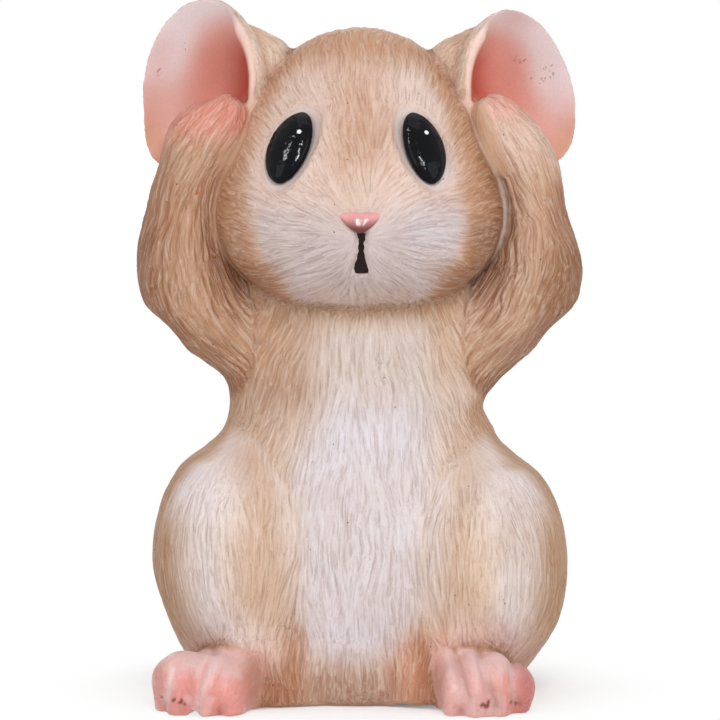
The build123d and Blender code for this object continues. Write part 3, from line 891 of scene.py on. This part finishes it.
# a soft tan band over the fold between the belly and each haunch, orange beside the left foot
bandAt = np.interp(z, (5, 27, 48, 60), (15.5, 18.5, 21.5, 23))
band = np.exp(-((side - bandAt) / 5.5) ** 2) * smoothStep(66, 50, z)
brush("#c7a386", np.maximum(body, haunches) * front * band * np.where(x < 0, 0.70, 0.50))
brush("#c98b6b", np.maximum(body, haunches) * front * 0.9 * spot(points, (14, -30, 7), (12, 26, 17)))
brush("#a36a4b", body * front * 0.85 * smoothStep(9, 15, side) * smoothStep(20, 13, z))   # the webs
brush("#d9a79c", haunches * 0.8 * spot(points, (25, -38, 13), (15, 20, 9)))
innerKnees = spot(points, (24, -34, 28), (8, 30, 22)) + spot(points, (-23, -34, 30), (8, 30, 20))
brush("#d6b497", haunches * 0.8 * innerKnees)
brush("#d4aca4", haunches * front * smoothStep(18, 9, z) * 0.6)
# the white of the belly runs out over the fold
bellySide = side + 4 * (valueNoise(points, 5.0, 15) - 0.5) + np.where(x < 0, 3.0, 0)
bellyWhite = smoothStep(20, 11, bellySide) * smoothStep(60, 46, z) * smoothStep(12, 24, z)
brush("#d8cdcd", np.maximum(body, haunches) * front * 0.75 * bellyWhite)
brush("#c2a594", haunches * 0.5 * spot(points, (32, -25, 36), (7, 30, 12)))
brush("#c2a38f", haunches * 0.4 * spot(points, (-25, -30, 33), (8, 30, 14)))
# ears: tan outside, pink inside, deepest towards the head, pale at the outer edge
brush("#d0a88c", ears)
brush("#e0cabb", ears * (1 - inEar) * smoothStep(0.80, 1.0, earRing) * 0.7)
inside = inEar
outer = np.hypot(np.maximum(earAcross + 0.15, 0) * 1.1, np.maximum(earUp, 0))
brush("#d48778", inside)
brush("#b94a3a", inside * smoothStep(0.10, -0.60, earAcross) * smoothStep(0.85, 0.3, earUp))
brush("#dfa79d", inside * smoothStep(0.30, 0.85, outer))
brush("#e9d8d8", inside * smoothStep(0.60, 0.98, outer) * smoothStep(-0.55, 0.25, earUp + 0.25 * (x > 0)))
brush("#c4997f", ears * (1 - inEar) * 0.6 * spot(points, (20, 0, 140), (9, 24, 11)))
brush("#d0a09c", inside * 0.5 * spot(points, (34, -6, 146), (7, 20, 6)))
brush("#cf9a92", inside * 0.7 * spot(points, (-43, -8, 137), (8, 20, 9)))
brush("#c47a6c", inside * 0.6 * spot(points, (34, -8, 136), (7, 20, 9)))
brush("#cf9478", inside * smoothStep(0.6, 0.95, earRing) * smoothStep(-0.4, -0.8, earUp) * 0.9)
brush("#e2c2b2", inside * smoothStep(0.84, 0.90, earRing) * smoothStep(-0.3, -0.6, earAcross))
# feet and tail: salmon with pale grooves, and tops paler as a painted highlight
brush("#dc9b92", feet)
brush("#d98a81", feet * smoothStep(-34, -44, y) * 0.7)
# painted highlight: the feet paler where they face upwards
brush("#e6c3c0", feet * smoothStep(0.35, 0.95, normals[:, 2]) * 0.85)
brush("#e8cfcf", feet * toeLine * 0.8)
brush("#dfb9b4", feet * smoothStep(0.55, 0.75, valueNoise(points, 2.4, 21)) * 0.6)
brush("#e3bab7", feet * 0.6 * (x > 0) * smoothStep(33, 27, x))
brush("#c07069", feet * 0.95 * smoothStep(31, 36, x))
brush("#c08a72", feet * smoothStep(-22, -14, y) * 0.7)
brush("#a97662", feet * np.where(x < 0, smoothStep(-26.5, -21, x), smoothStep(19, 14.5, x)) * 0.9)
brush("#d99f93", tail)
# crevices: a grey-brown wash with painted shade between the head and the arms, a brown wash with painted
# shade where limbs meet the body
# painted shade with a grey-brown wash in the crease between the arms and the head
armSeam = smoothStep(2.8, 0.3, seamGap["armHead"]) * (1 - thumb)
brush("#8c7568", np.maximum(arms, head) * armSeam * (x > 0) * np.interp(z, (108, 118), (0.7, 0.35)))
brush("#a27a60", np.maximum(arms, head) * 0.35 * armSeam * (x < 0))
glueLine = smoothStep(1.5, 0.2, seamGap["armHead"]) * smoothStep(28, 31, x) * smoothStep(119, 113, z)
brush("#cbbcb4", 0.7 * glueLine)
# brown wash with painted shade in the seams at the ears, neck and ankles
brush("#b8806c", arms * 0.6 * smoothStep(2.0, 0.2, seamGap["armEar"]))
brush("#a78063", 0.5 * smoothStep(4.0, 0.3, seamGap["neck"]))
brush("#a97a5c", 0.6 * smoothStep(2.6, 0.3, seamGap["ankle"]) * smoothStep(5, -1, inwards))
brush("#bd9178", 0.5 * smoothStep(3.0, 0.3, seamGap["earRoot"]))
for name in eyeNames:
    brush("#e4dcde", 0.5 * smoothStep(1.16, 1.06, ringShare(name, points)))
speckWays = [  # (kind, x and z of the middle, how many, spread in x and z, radius, colour), mm
    ("ear", (33.6, 135.8), 6, (1.2, 0.4), 0.20, "#a86a5a"),      # air bubbles in the ears
    ("ear", (40.2, 133.0), 18, (1.8, 1.6), 0.17, "#b47e70"),
    ("ear", (-44.0, 133.0), 3, (0.8, 1.0), 0.20, "#a86a5a"),
    ("foot", (-39.1, 3.5), 8, (1.8, 0.5), 0.38, "#7b4034"),      # crumbs on the toes
    ("foot", (26.7, 2.4), 6, (0.5, 0.6), 0.42, "#7b4034"),
    ("foot", (32.7, 3.1), 2, (0.4, 0.3), 0.38, "#7b4034"),
    ("arm", (-34.4, 109.4), 1, (0, 0), 0.55, "#c4532f"),
]
chance = np.random.default_rng(11)
for kind, middle, count, spread, radius, hexValue in speckWays:
    mine = (kinds == kind) & (facingFront > 0.1)
    for _ in range(count):
        x0, z0 = np.array(middle) + np.array(spread) * chance.normal(size=2)
        brush(hexValue, mine * 0.85 * smoothStep(radius * 1.3, radius * 0.5, np.hypot(x - x0, z - z0)))

# the wash darkens the grooves, painted shade darkens the hollows, and dry brushing lightens the ridges
washAndShadeWays = {
    "full": 0.13,                                        # mm of depth that counts as fully furry
    "groove": 0.06, "hollow": 1.2, "broad": 0.35, "colour": (0.22, 0.32, 0.40),   # what it takes away
    "ridge": 0.08, "crest": 0.4, "dry": (0.97, 0.93, 0.90),                       # what dry brushing adds
    "blotchCell": 7, "blotch": (0.035, 0.045, 0.06),
}
furry = np.clip(depth / washAndShadeWays["full"], 0, 1)
wiped = 0.3 + 0.7 * furry
# painted shade: the hollows of the relief and the broad hollows between forms are darkened, the grooves by
# the wash
dark = furry * washAndShadeWays["groove"] * groove + washAndShadeWays["hollow"] * np.clip(hollow, 0, 0.3) * wiped
dark += washAndShadeWays["broad"] * np.clip(broadHollow, 0, 0.8)
for name in eyeNames:
    dark *= 0.25 + 0.75 * smoothStep(1.15, 1.5, ringShare(name, points))
dark = np.clip(dark, 0, 1)[:, None]
paint = paint * (1 - dark * np.array(washAndShadeWays["colour"]))
light = (furry * washAndShadeWays["ridge"] * ridge + washAndShadeWays["crest"] * np.clip(-hollow, 0, 0.3))[:, None]
paint = paint + (np.array(washAndShadeWays["dry"]) - paint) * np.clip(light, 0, 0.5)
blotch = (valueNoise(points, washAndShadeWays["blotchCell"], 12) - 0.5)[:, None] * np.array(washAndShadeWays["blotch"])
paint = np.clip(paint + blotch, 0, 1)
print("painted")


def storeColour(mesh, name, values):
    layer = mesh.attributes.new(name, "FLOAT_COLOR", "POINT")
    filled = np.ones((len(values), 4), np.float32)
    filled[:, :3] = toLinear(values)
    layer.data.foreach_set("color", filled.ravel())


def storeValues(mesh, name, values):
    kind = "FLOAT" if values.ndim == 1 else "FLOAT_VECTOR"
    layer = mesh.attributes.new(name, kind, "POINT")
    layer.data.foreach_set("value" if values.ndim == 1 else "vector", values.astype(np.float32).ravel())


def toolStrokes(tree, place, ways):  # fine strokes of a modelling tool, in short bundles along the flow
    flowNode = addNode(tree, "Attribute", {"attribute_name": "flow",
                                           "attribute_type": "GEOMETRY"}).outputs["Vector"]
    total, share = None, None
    for shift in (0.0, 2.9):
        moved = addNode(tree, "VectorMath", {"operation": "ADD"},
                        {0: place, 1: (shift * mm,) * 3}).outputs[0]
        cells = addNode(tree, "TexVoronoi", {"feature": "F1"},
                        {"Vector": moved, "Scale": 1 / (ways["bundle"] * mm)}).outputs
        local = addNode(tree, "VectorMath", {"operation": "SUBTRACT"},
                        {0: moved, 1: cells["Position"]}).outputs[0]
        along = addNode(tree, "VectorMath", {"operation": "DOT_PRODUCT"},
                        {0: local, 1: flowNode}).outputs["Value"]
        back = addNode(tree, "Math", {"operation": "MULTIPLY"}, {0: along, 1: 1 / ways["stretch"] - 1})
        squeeze = addNode(tree, "VectorMath", {"operation": "SCALE"},
                          {0: flowNode, "Scale": back.outputs[0]})
        pressed = addNode(tree, "VectorMath", {"operation": "ADD"}, {0: local, 1: squeeze.outputs[0]})
        apart = addNode(tree, "VectorMath", {"operation": "SCALE"}, {0: cells["Position"], "Scale": 7.3})
        spread = addNode(tree, "VectorMath", {"operation": "ADD"},
                         {0: pressed.outputs[0], 1: apart.outputs[0]})
        noise = addNode(tree, "TexNoise", None, {"Vector": spread.outputs[0], "Detail": 1.0,
                                                 "Scale": 1 / (ways["pitch"] * mm), "Roughness": 0.4})
        weight = addNode(tree, "MapRange", {"interpolation_type": "SMOOTHSTEP"},
                         {"Value": cells["Distance"], "From Min": 0.75, "From Max": 0.25,
                          "To Min": 0.02, "To Max": 1.0}).outputs[0]
        part = addNode(tree, "Math", {"operation": "MULTIPLY"}, {0: noise.outputs[0], 1: weight}).outputs[0]
        if total is None:
            total, share = part, weight
        else:
            total = addNode(tree, "Math", {"operation": "ADD"}, {0: total, 1: part}).outputs[0]
            share = addNode(tree, "Math", {"operation": "ADD"}, {0: share, 1: weight}).outputs[0]
    return addNode(tree, "Math", {"operation": "DIVIDE"}, {0: total, 1: share}).outputs[0]


def resinMaterial(name, ways):  # cold-cast resin with matt paint: tool strokes, pinholes and fine grain
    material, tree, surface = newMaterial(name, {"Roughness": ways["roughness"],
                                                 "Specular IOR Level": ways["shine"]})
    place = addNode(tree, "TexCoord").outputs["Object"]
    painted = addNode(tree, "Attribute", {"attribute_name": "paint", "attribute_type": "GEOMETRY"})
    fur = addNode(tree, "Attribute", {"attribute_name": "fur", "attribute_type": "GEOMETRY"}).outputs["Fac"]
    # fine strokes: a brown wash in the grooves, dry-brushed white on the ridges
    strokes = toolStrokes(tree, place, ways)
    low = addNode(tree, "MapRange", {"interpolation_type": "SMOOTHSTEP"},
                  {"Value": strokes, "From Min": ways["grooves"][0], "From Max": ways["grooves"][1],
                   "To Max": ways["groove"]})
    high = addNode(tree, "MapRange", {"interpolation_type": "SMOOTHSTEP"},
                   {"Value": strokes, "From Min": ways["ridges"][0], "From Max": ways["ridges"][1],
                    "To Max": ways["ridge"]})
    lowShare = addNode(tree, "Math", {"operation": "MULTIPLY"}, {0: low.outputs[0], 1: fur})
    highShare = addNode(tree, "Math", {"operation": "MULTIPLY"}, {0: high.outputs[0], 1: fur})
    washed = addNode(tree, "Mix", {"data_type": "RGBA", "blend_type": "MULTIPLY"},
                     {"Factor": lowShare.outputs[0], 6: painted.outputs["Color"],
                      7: colourOf(ways["wash"])})
    brushed = addNode(tree, "Mix", {"data_type": "RGBA"},
                      {"Factor": highShare.outputs[0], 6: washed.outputs[2], 7: colourOf(ways["dry"])})
    # pinholes left by air bubbles, about 0.3 mm wide
    cells = addNode(tree, "TexVoronoi", {"feature": "F1"},
                    {"Vector": place, "Scale": 1 / (ways["pinholeGap"] * mm)}).outputs
    chance = addNode(tree, "SeparateColor", None, {"Color": cells["Color"]}).outputs["Red"]
    chosen = addNode(tree, "Math", {"operation": "GREATER_THAN"}, {0: chance, 1: 1 - ways["pinholes"]})
    edge = addNode(tree, "MapRange", {"interpolation_type": "SMOOTHSTEP"},
                   {"Value": cells["Distance"], "From Min": ways["pinholeEdge"][0],
                    "From Max": ways["pinholeEdge"][1]})
    holes = addNode(tree, "Math", {"operation": "MULTIPLY"},
                    {0: edge.outputs[0], 1: chosen.outputs[0]}).outputs[0]
    pitted = addNode(tree, "Mix", {"data_type": "RGBA", "blend_type": "MULTIPLY"},
                     {"Factor": holes, 6: brushed.outputs[2], 7: colourOf(ways["pinhole"])})
    # faint grain in the paint
    grain = addNode(tree, "TexNoise", None,
                    {"Vector": place, "Scale": 1 / (ways["grainSize"] * mm), "Detail": 3.0}).outputs[0]
    level = addNode(tree, "MapRange", None, {"Value": grain, "From Min": 0.3, "From Max": 0.7,
                                             "To Min": 1 - ways["grain"], "To Max": 1 + ways["grain"]})
    coloured = addNode(tree, "VectorMath", {"operation": "SCALE"},
                       {0: pitted.outputs[2], "Scale": level.outputs[0]})
    tree.links.new(coloured.outputs[0], surface.inputs["Base Color"])
    relief = addNode(tree, "Math", {"operation": "MULTIPLY"}, {0: strokes, 1: fur})
    tall = addNode(tree, "Math", {"operation": "MULTIPLY"}, {0: relief.outputs[0], 1: ways["relief"]})
    grainy = addNode(tree, "Math", {"operation": "MULTIPLY_ADD"},
                     {0: grain, 1: ways["bump"], 2: tall.outputs[0]})
    height = addNode(tree, "Math", {"operation": "SUBTRACT"}, {0: grainy.outputs[0], 1: holes})
    bump = addNode(tree, "Bump", None, {"Height": height.outputs[0], "Strength": 1.0,
                                        "Distance": ways["bumpDepth"] * mm})
    tree.links.new(bump.outputs[0], surface.inputs["Normal"])
    return material


furWays = {   # sizes in mm
    "bundle": 8.0, "stretch": 13.0, "pitch": 0.42,   # a bundle of strokes, their length in widths, width
    # the noise that counts as a groove or a ridge, and how strongly each is coloured
    "grooves": (0.50, 0.34), "groove": 0.24, "wash": "#a87f5c",
    "ridges": (0.50, 0.66), "ridge": 0.17, "dry": "#f0e6de",
    "pinhole": "#8a5a46", "pinholeGap": 2.6, "pinholeEdge": (0.08, 0.04), "pinholes": 0.20,
    "grain": 0.04, "grainSize": 0.5, "relief": 4.4, "bump": 0.4, "bumpDepth": 0.1,
    "roughness": 0.55, "shine": 0.22,
}
earSkinWays = {**furWays, "pinholeGap": 2.2, "pinholes": 0.12, "roughness": 0.50}
footWays = {**furWays, "wash": "#b06a5c", "pinholeGap": 2.4, "roughness": 0.42, "shine": 0.28}
materialOf = {
    "fur_casting": resinMaterial("furResin", furWays),
    "ear_casting": resinMaterial("earResin", earSkinWays),
    "foot_casting": resinMaterial("footResin", footWays),
    "tail_casting": resinMaterial("tailResin", footWays),
}
slotOf = {name: "fur_casting" for name in castings}
slotOf.update({"left_ear": "ear_casting", "right_ear": "ear_casting", "left_foot": "foot_casting",
               "right_foot": "foot_casting", "tail": "tail_casting"})

# Cutting the skin into its castings again


def corners(mesh):  # the four corners of each face, all of them quads
    found = np.empty(len(mesh.loops), np.int32)
    mesh.loops.foreach_get("vertex_index", found)
    return found.reshape(-1, 4)


wallWays = {   # mm, and how many rows of points at a seam keep their own inner points
    "thick": 0.8, "atRim": 0.12, "cell": 2.2, "ring": 3,
}
atRim = smoothStep(0.55, 0.72, earRing) * (kinds == "ear")
wall = wallWays["thick"] + (wallWays["atRim"] - wallWays["thick"]) * atRim


def shellOf(mine):  # closes a cut piece with a thin wall: faces, and each point's source, place and normal
    used, outer = np.unique(mine, return_inverse=True)
    outer = outer.reshape(mine.shape)
    count = len(used)
    sides = np.stack((outer, np.roll(outer, -1, 1)), 2).reshape(-1, 2).astype(np.int64)
    rim = sides[~np.isin(sides[:, 0] * count + sides[:, 1], sides[:, 1] * count + sides[:, 0])]
    near = np.zeros(count, bool)
    near[rim.ravel()] = True
    for _ in range(wallWays["ring"]):
        near[sides[near[sides[:, 0]], 1]] = True
    octant = (normals[used] > 0) @ np.array((1, 2, 4))
    key = np.where(near, -1 - np.arange(count), cellKeys(points[used], wallWays["cell"]) * 8 + octant)
    _, first, group = np.unique(key, return_index=True, return_inverse=True)
    inside = points[used] - normals[used] * wall[used][:, None]
    places = groupSums(group, inside) / np.bincount(group)[:, None]
    facing = groupSums(group, -normals[used])
    inner = (group[outer] + count)[:, ::-1]
    same = inner == np.roll(inner, -1, 1)
    crossed = (inner[:, 0] == inner[:, 2]) | (inner[:, 1] == inner[:, 3])
    whole = inner[(same.sum(1) == 0) & ~crossed]
    folded = (same.sum(1) == 1) & ~crossed
    triangles = inner[folded][~same[folded]].reshape(-1, 3)
    walls = np.stack((rim[:, 1], rim[:, 0], group[rim[:, 0]] + count, group[rim[:, 1]] + count), 1)
    faces = outer.tolist() + whole.tolist() + triangles.tolist() + walls.tolist()
    source = np.concatenate((used, used[first]))
    places = np.concatenate((points[used], places))
    return faces, source, places, np.concatenate((normals[used], unit(facing)))


def cutSkin():
    quads = corners(skin)
    owner = np.minimum.reduce([label[quads[:, i]] for i in range(3)])
    for index, name in enumerate(castings):
        faces, source, places, facing = shellOf(quads[owner == index])
        mesh = bpy.data.meshes.new(name)
        mesh.from_pydata((places * mm).tolist(), [], faces)
        mesh.materials.append(materialOf[slotOf[name]])
        mesh.polygons.foreach_set("use_smooth", np.ones(len(mesh.polygons), bool))
        mesh.update()
        storeColour(mesh, "paint", paint[source])
        storeValues(mesh, "fur", furry[source])
        storeValues(mesh, "flow", flow[source])
        mesh.normals_split_custom_set_from_vertices(facing.astype(np.float32))
        piece = addObject(name + "Skin", mesh)
        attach(piece, "root")
        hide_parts(name)
        print(name, "faces", len(mesh.polygons), "of them outside", int((owner == index).sum()))


cutSkin()

# Eyes, dots of light, nose and mouth in enamel


def ringAngles(count):
    return np.linspace(0, 2 * math.pi, count, endpoint=False)


def loftedPiece(name, rows, around):  # a closed skin through rings, each a list of points in mm
    shape = bmesh.new()
    rings = [[shape.verts.new(Vector(place) * mm) for place in ring] for ring in rows]
    joinRings(shape, rings)
    for ring in (rings[0], rings[-1]):
        middle = shape.verts.new(sum((vert.co for vert in ring), Vector()) / around)
        for i in range(around):
            shape.faces.new((ring[i], ring[(i + 1) % around], middle))
    bmesh.ops.recalc_face_normals(shape, faces=shape.faces)
    mesh = bpy.data.meshes.new(name)
    shape.to_mesh(mesh)
    shape.free()
    mesh.polygons.foreach_set("use_smooth", np.ones(len(mesh.polygons), bool))
    piece = addObject(name, mesh)
    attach(piece, "root")
    return piece


def faceFrame(name):  # middle, outward, up and sideways directions of a node of the face
    middle, axes, half = faceAxes[name]
    outward = axes[2] * (-1 if axes[2][1] > 0 else 1)
    up = axes[0] * (-1 if axes[0][2] < 0 else 1)
    across = np.cross(outward, up)
    return middle, outward, up, across * (1 if across[0] > 0 else -1), half


eyeWays = {
    "rows": 40, "around": 48, "long": 0.965, "bulge": 2.4,
    "wide": {"left_eye": 0.93, "right_eye": 1.02},
    "turn": {"left_eye": 7.0, "right_eye": -3.0},   # degrees, so that the tops move apart
    "pointed": 0.56,      # 0.5 gives an ellipse, more a leaf
    "lateral": 0.12,      # how far the outer side bulges, in half widths
}


def makeEye(name):
    middle, outward, up, across, half = faceFrame(name)
    side = 1 if middle[0] > 0 else -1
    turned = math.radians(eyeWays["turn"][name])
    up, across = (up * math.cos(turned) + across * math.sin(turned),
                  across * math.cos(turned) - up * math.sin(turned))
    rows = []
    for i in range(1, eyeWays["rows"]):
        v = -math.cos(math.pi * i / eyeWays["rows"])
        wide = half[1] * eyeWays["wide"][name] * (1 - v * v) ** eyeWays["pointed"]
        shift = side * half[1] * eyeWays["lateral"] * (1 - v * v)
        tall = eyeWays["bulge"] * math.sqrt(1 - v * v)
        centre = middle + up * (half[0] * eyeWays["long"] * v) + across * shift
        rows.append([centre + across * wide * math.cos(a) + outward * tall * math.sin(a)
                     for a in ringAngles(eyeWays["around"])])
    return loftedPiece(name + "Enamel", rows, eyeWays["around"])


def glossMaterial(name, ways):  # enamel paint: deep colour under a glossy coat
    material, tree, surface = newMaterial(name, {
        "Roughness": ways["roughness"], "Specular IOR Level": ways["shine"], "Coat Weight": ways["coat"],
        "Coat Roughness": ways["coatRoughness"]})
    place = addNode(tree, "TexCoord").outputs["Object"]
    waves = addNode(tree, "TexNoise", None,
                    {"Vector": place, "Scale": 1 / (ways["wave"] * mm), "Detail": 2.0})
    mixed = addNode(tree, "Mix", {"data_type": "RGBA"},
                    {"Factor": waves.outputs[0], 6: colourOf(ways["colour"]), 7: colourOf(ways["second"])})
    if "below" in ways:   # a second coat that darkens towards the bottom
        height = addNode(tree, "SeparateXYZ", None, {0: place}).outputs["Z"]
        share = addNode(tree, "MapRange", {"interpolation_type": "SMOOTHSTEP"},
                        {"Value": height, "From Min": ways["till"] * mm, "From Max": ways["from"] * mm})
        mixed = addNode(tree, "Mix", {"data_type": "RGBA"},
                        {"Factor": share.outputs[0], 6: mixed.outputs[2], 7: colourOf(ways["below"])})
    tree.links.new(mixed.outputs[2], surface.inputs["Base Color"])
    bump = addNode(tree, "Bump", None, {"Height": waves.outputs[0], "Strength": ways["bump"],
                                        "Distance": ways["wave"] * 0.12 * mm})
    tree.links.new(bump.outputs[0], surface.inputs["Normal"])
    return material


eyePaint = glossMaterial("blackEnamel", {
    "colour": "#060609", "second": "#0d0e15", "wave": 3.0, "bump": 1.0,
    "roughness": 0.10, "shine": 0.10, "coat": 0.0, "coatRoughness": 0.05})
nosePaint = glossMaterial("pinkEnamel", {
    "colour": "#d98f8e", "second": "#e3a5a3", "wave": 1.2, "bump": 0.6,
    "below": "#6a3029", "from": 103.6, "till": 107.0,
    "roughness": 0.25, "shine": 0.30, "coat": 0.08, "coatRoughness": 0.12})
mouthPaint = glossMaterial("brownEnamel", {
    "colour": "#130a0a", "second": "#2e1c18", "wave": 0.7, "bump": 1.0,
    "roughness": 0.22, "shine": 0.12, "coat": 0.0, "coatRoughness": 0.15})
whitePaint = glossMaterial("whiteEnamel", {
    "colour": "#eef0f2", "second": "#e6e8ea", "wave": 1.0, "bump": 0.1,
    "roughness": 0.3, "shine": 0.5, "coat": 0.2, "coatRoughness": 0.1})
dotWays = {"left_eye": (14.2, 123.4), "right_eye": (-13.0, 123.6), "radius": 0.52, "tall": 0.22, "rings": 6,
           "around": 20}


def makeDot(name, eye):  # a small dome of white enamel on the eye
    shape = bmesh.new()
    shape.from_mesh(eye.data)
    x0, z0 = dotWays[name]
    hit, outward, _, _ = BVHTree.FromBMesh(shape).ray_cast(Vector((x0, -80, z0)) * mm, Vector((0, 1, 0)))
    shape.free()
    across = Vector((0, 0, 1)).cross(outward).normalized()
    up = outward.cross(across)
    rows = []
    for i in range(dotWays["rings"]):
        a = math.pi * (i + 0.5) / dotWays["rings"]
        reach, rise = dotWays["radius"] * math.sin(a), dotWays["tall"] * math.cos(a)
        rows.append([hit / mm + outward * rise + (across * math.cos(t) + up * math.sin(t)) * reach
                     for t in ringAngles(dotWays["around"])])
    return loftedPiece(name.replace("eye", "dot"), rows, dotWays["around"])


def dress(piece, material, node):  # paints a piece and hides the CAD node that it stands for
    piece.data.materials.append(material)
    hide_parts(node)


for name in eyeNames:
    eye = makeEye(name)
    dress(eye, eyePaint, name)
    dress(makeDot(name, eye), whitePaint, name.replace("eye", "catchlight"))

noseWays = {  # share of the height from the tip up, and half width in mm there
    "rows": 26, "around": 40, "deep": 1.5, "lean": 0.35, "cleft": 0.28, "cleftHalf": 0.5,
    "outline": [(0.0, 0.3), (0.1, 1.15), (0.25, 2.2), (0.45, 3.3), (0.65, 4.1), (0.8, 4.45), (0.92, 4.35),
                (1.0, 3.5)],
}


def makeNose():
    low, high = nodePoints("nose").min(0), nodePoints("nose").max(0)
    tall, foremost = high[2] - low[2], low[1]
    shares, widths = np.array(noseWays["outline"]).T
    rows = []
    for i in range(1, noseWays["rows"]):
        v = i / noseWays["rows"]                       # 0 at the tip below, 1 at the top
        wide = float(np.interp(v, shares, widths))
        deep = noseWays["deep"] * (1 - abs(2 * v - 1) ** 2.6) ** 0.5
        lean = foremost + noseWays["deep"] * 0.75 + (v - 0.5) * tall * noseWays["lean"]
        ring = []
        for a in ringAngles(noseWays["around"]):
            across = wide * math.cos(a)
            cleft = noseWays["cleft"] * math.exp(-(across / noseWays["cleftHalf"]) ** 2)
            cleft *= v * (math.sin(a) < 0)
            ring.append((across, lean + deep * math.sin(a) + cleft, low[2] + tall * v))
        rows.append(ring)
    return loftedPiece("noseEnamel", rows, noseWays["around"])


mouthWays.update({"around": 16, "steps": 36, "bulge": 0.22, "behind": 0.8})
mouthWays.update({"ragged": 0.22, "raggedCell": 0.9})   # mm that the painted edge wanders, and over what


def raggedness(height, side):  # how far the painted edge wanders, mm
    noise = valueNoise(np.array([[side, 0, height]]), mouthWays["raggedCell"])[0]
    return mouthWays["ragged"] * (float(noise) - 0.5)


def makeMouth():  # a thick coat of paint in the carved groove
    shape = bmesh.new()
    shape.from_mesh(skin)
    surface = BVHTree.FromBMesh(shape)
    shape.free()
    rows = []
    for height in np.linspace(highest, lowest, mouthWays["steps"]):
        ragged = [raggedness(height, -3.0), raggedness(height, 3.0)]
        wide = float(mouthWidth(height))
        hit = surface.ray_cast(Vector((mouthWays["x"] * mm, -0.08, height * mm)), Vector((0, 1, 0)))[0]
        depthHere = hit.y / mm
        ring = []
        for a in ringAngles(mouthWays["around"]):
            out = mouthWays["bulge"] if math.sin(a) > 0 else mouthWays["behind"]
            reach = wide + 2 * ragged[math.cos(a) > 0]
            ring.append((mouthWays["x"] + reach * math.cos(a), depthHere - out * math.sin(a), height))
        rows.append(ring)
    return loftedPiece("mouthEnamel", rows, mouthWays["around"])


dress(makeMouth(), mouthPaint, "mouth_inlay")
bpy.data.meshes.remove(skin)
dress(makeNose(), nosePaint, "nose")
print("eyes, nose and mouth")

# The CAD's own plug, felt and pins


def plainMaterial(name, hexValue, roughness, metal, scale, bumpDepth):
    material, tree, surface = newMaterial(name, {"Base Color": colourOf(hexValue), "Roughness": roughness,
                                                 "Metallic": metal})
    place = addNode(tree, "TexCoord").outputs["Object"]
    grain = addNode(tree, "TexNoise", None, {"Vector": place, "Scale": 1 / (scale * mm), "Detail": 4.0})
    bump = addNode(tree, "Bump", None,
                   {"Height": grain.outputs[0], "Strength": 0.6, "Distance": bumpDepth * mm})
    tree.links.new(bump.outputs[0], surface.inputs["Normal"])
    return material


hidden = {  # bare cast resin, dark felt with fibres, bright steel wire
    "base_plug": plainMaterial("bareResin", "#d9d1c2", 0.6, 0, 1.2, 0.1),
    "felt_base": plainMaterial("darkFelt", "#1a1718", 0.95, 0, 0.4, 0.3),
    "left_shoulder_pin": plainMaterial("steelWire", "#a0a0a0", 0.3, 1, 0.3, 0.02),
}
hidden["right_shoulder_pin"] = hidden["tail_pin"] = hidden["left_shoulder_pin"]
for name, material in hidden.items():
    nodes[name].data.materials.clear()
    nodes[name].data.materials.append(material)
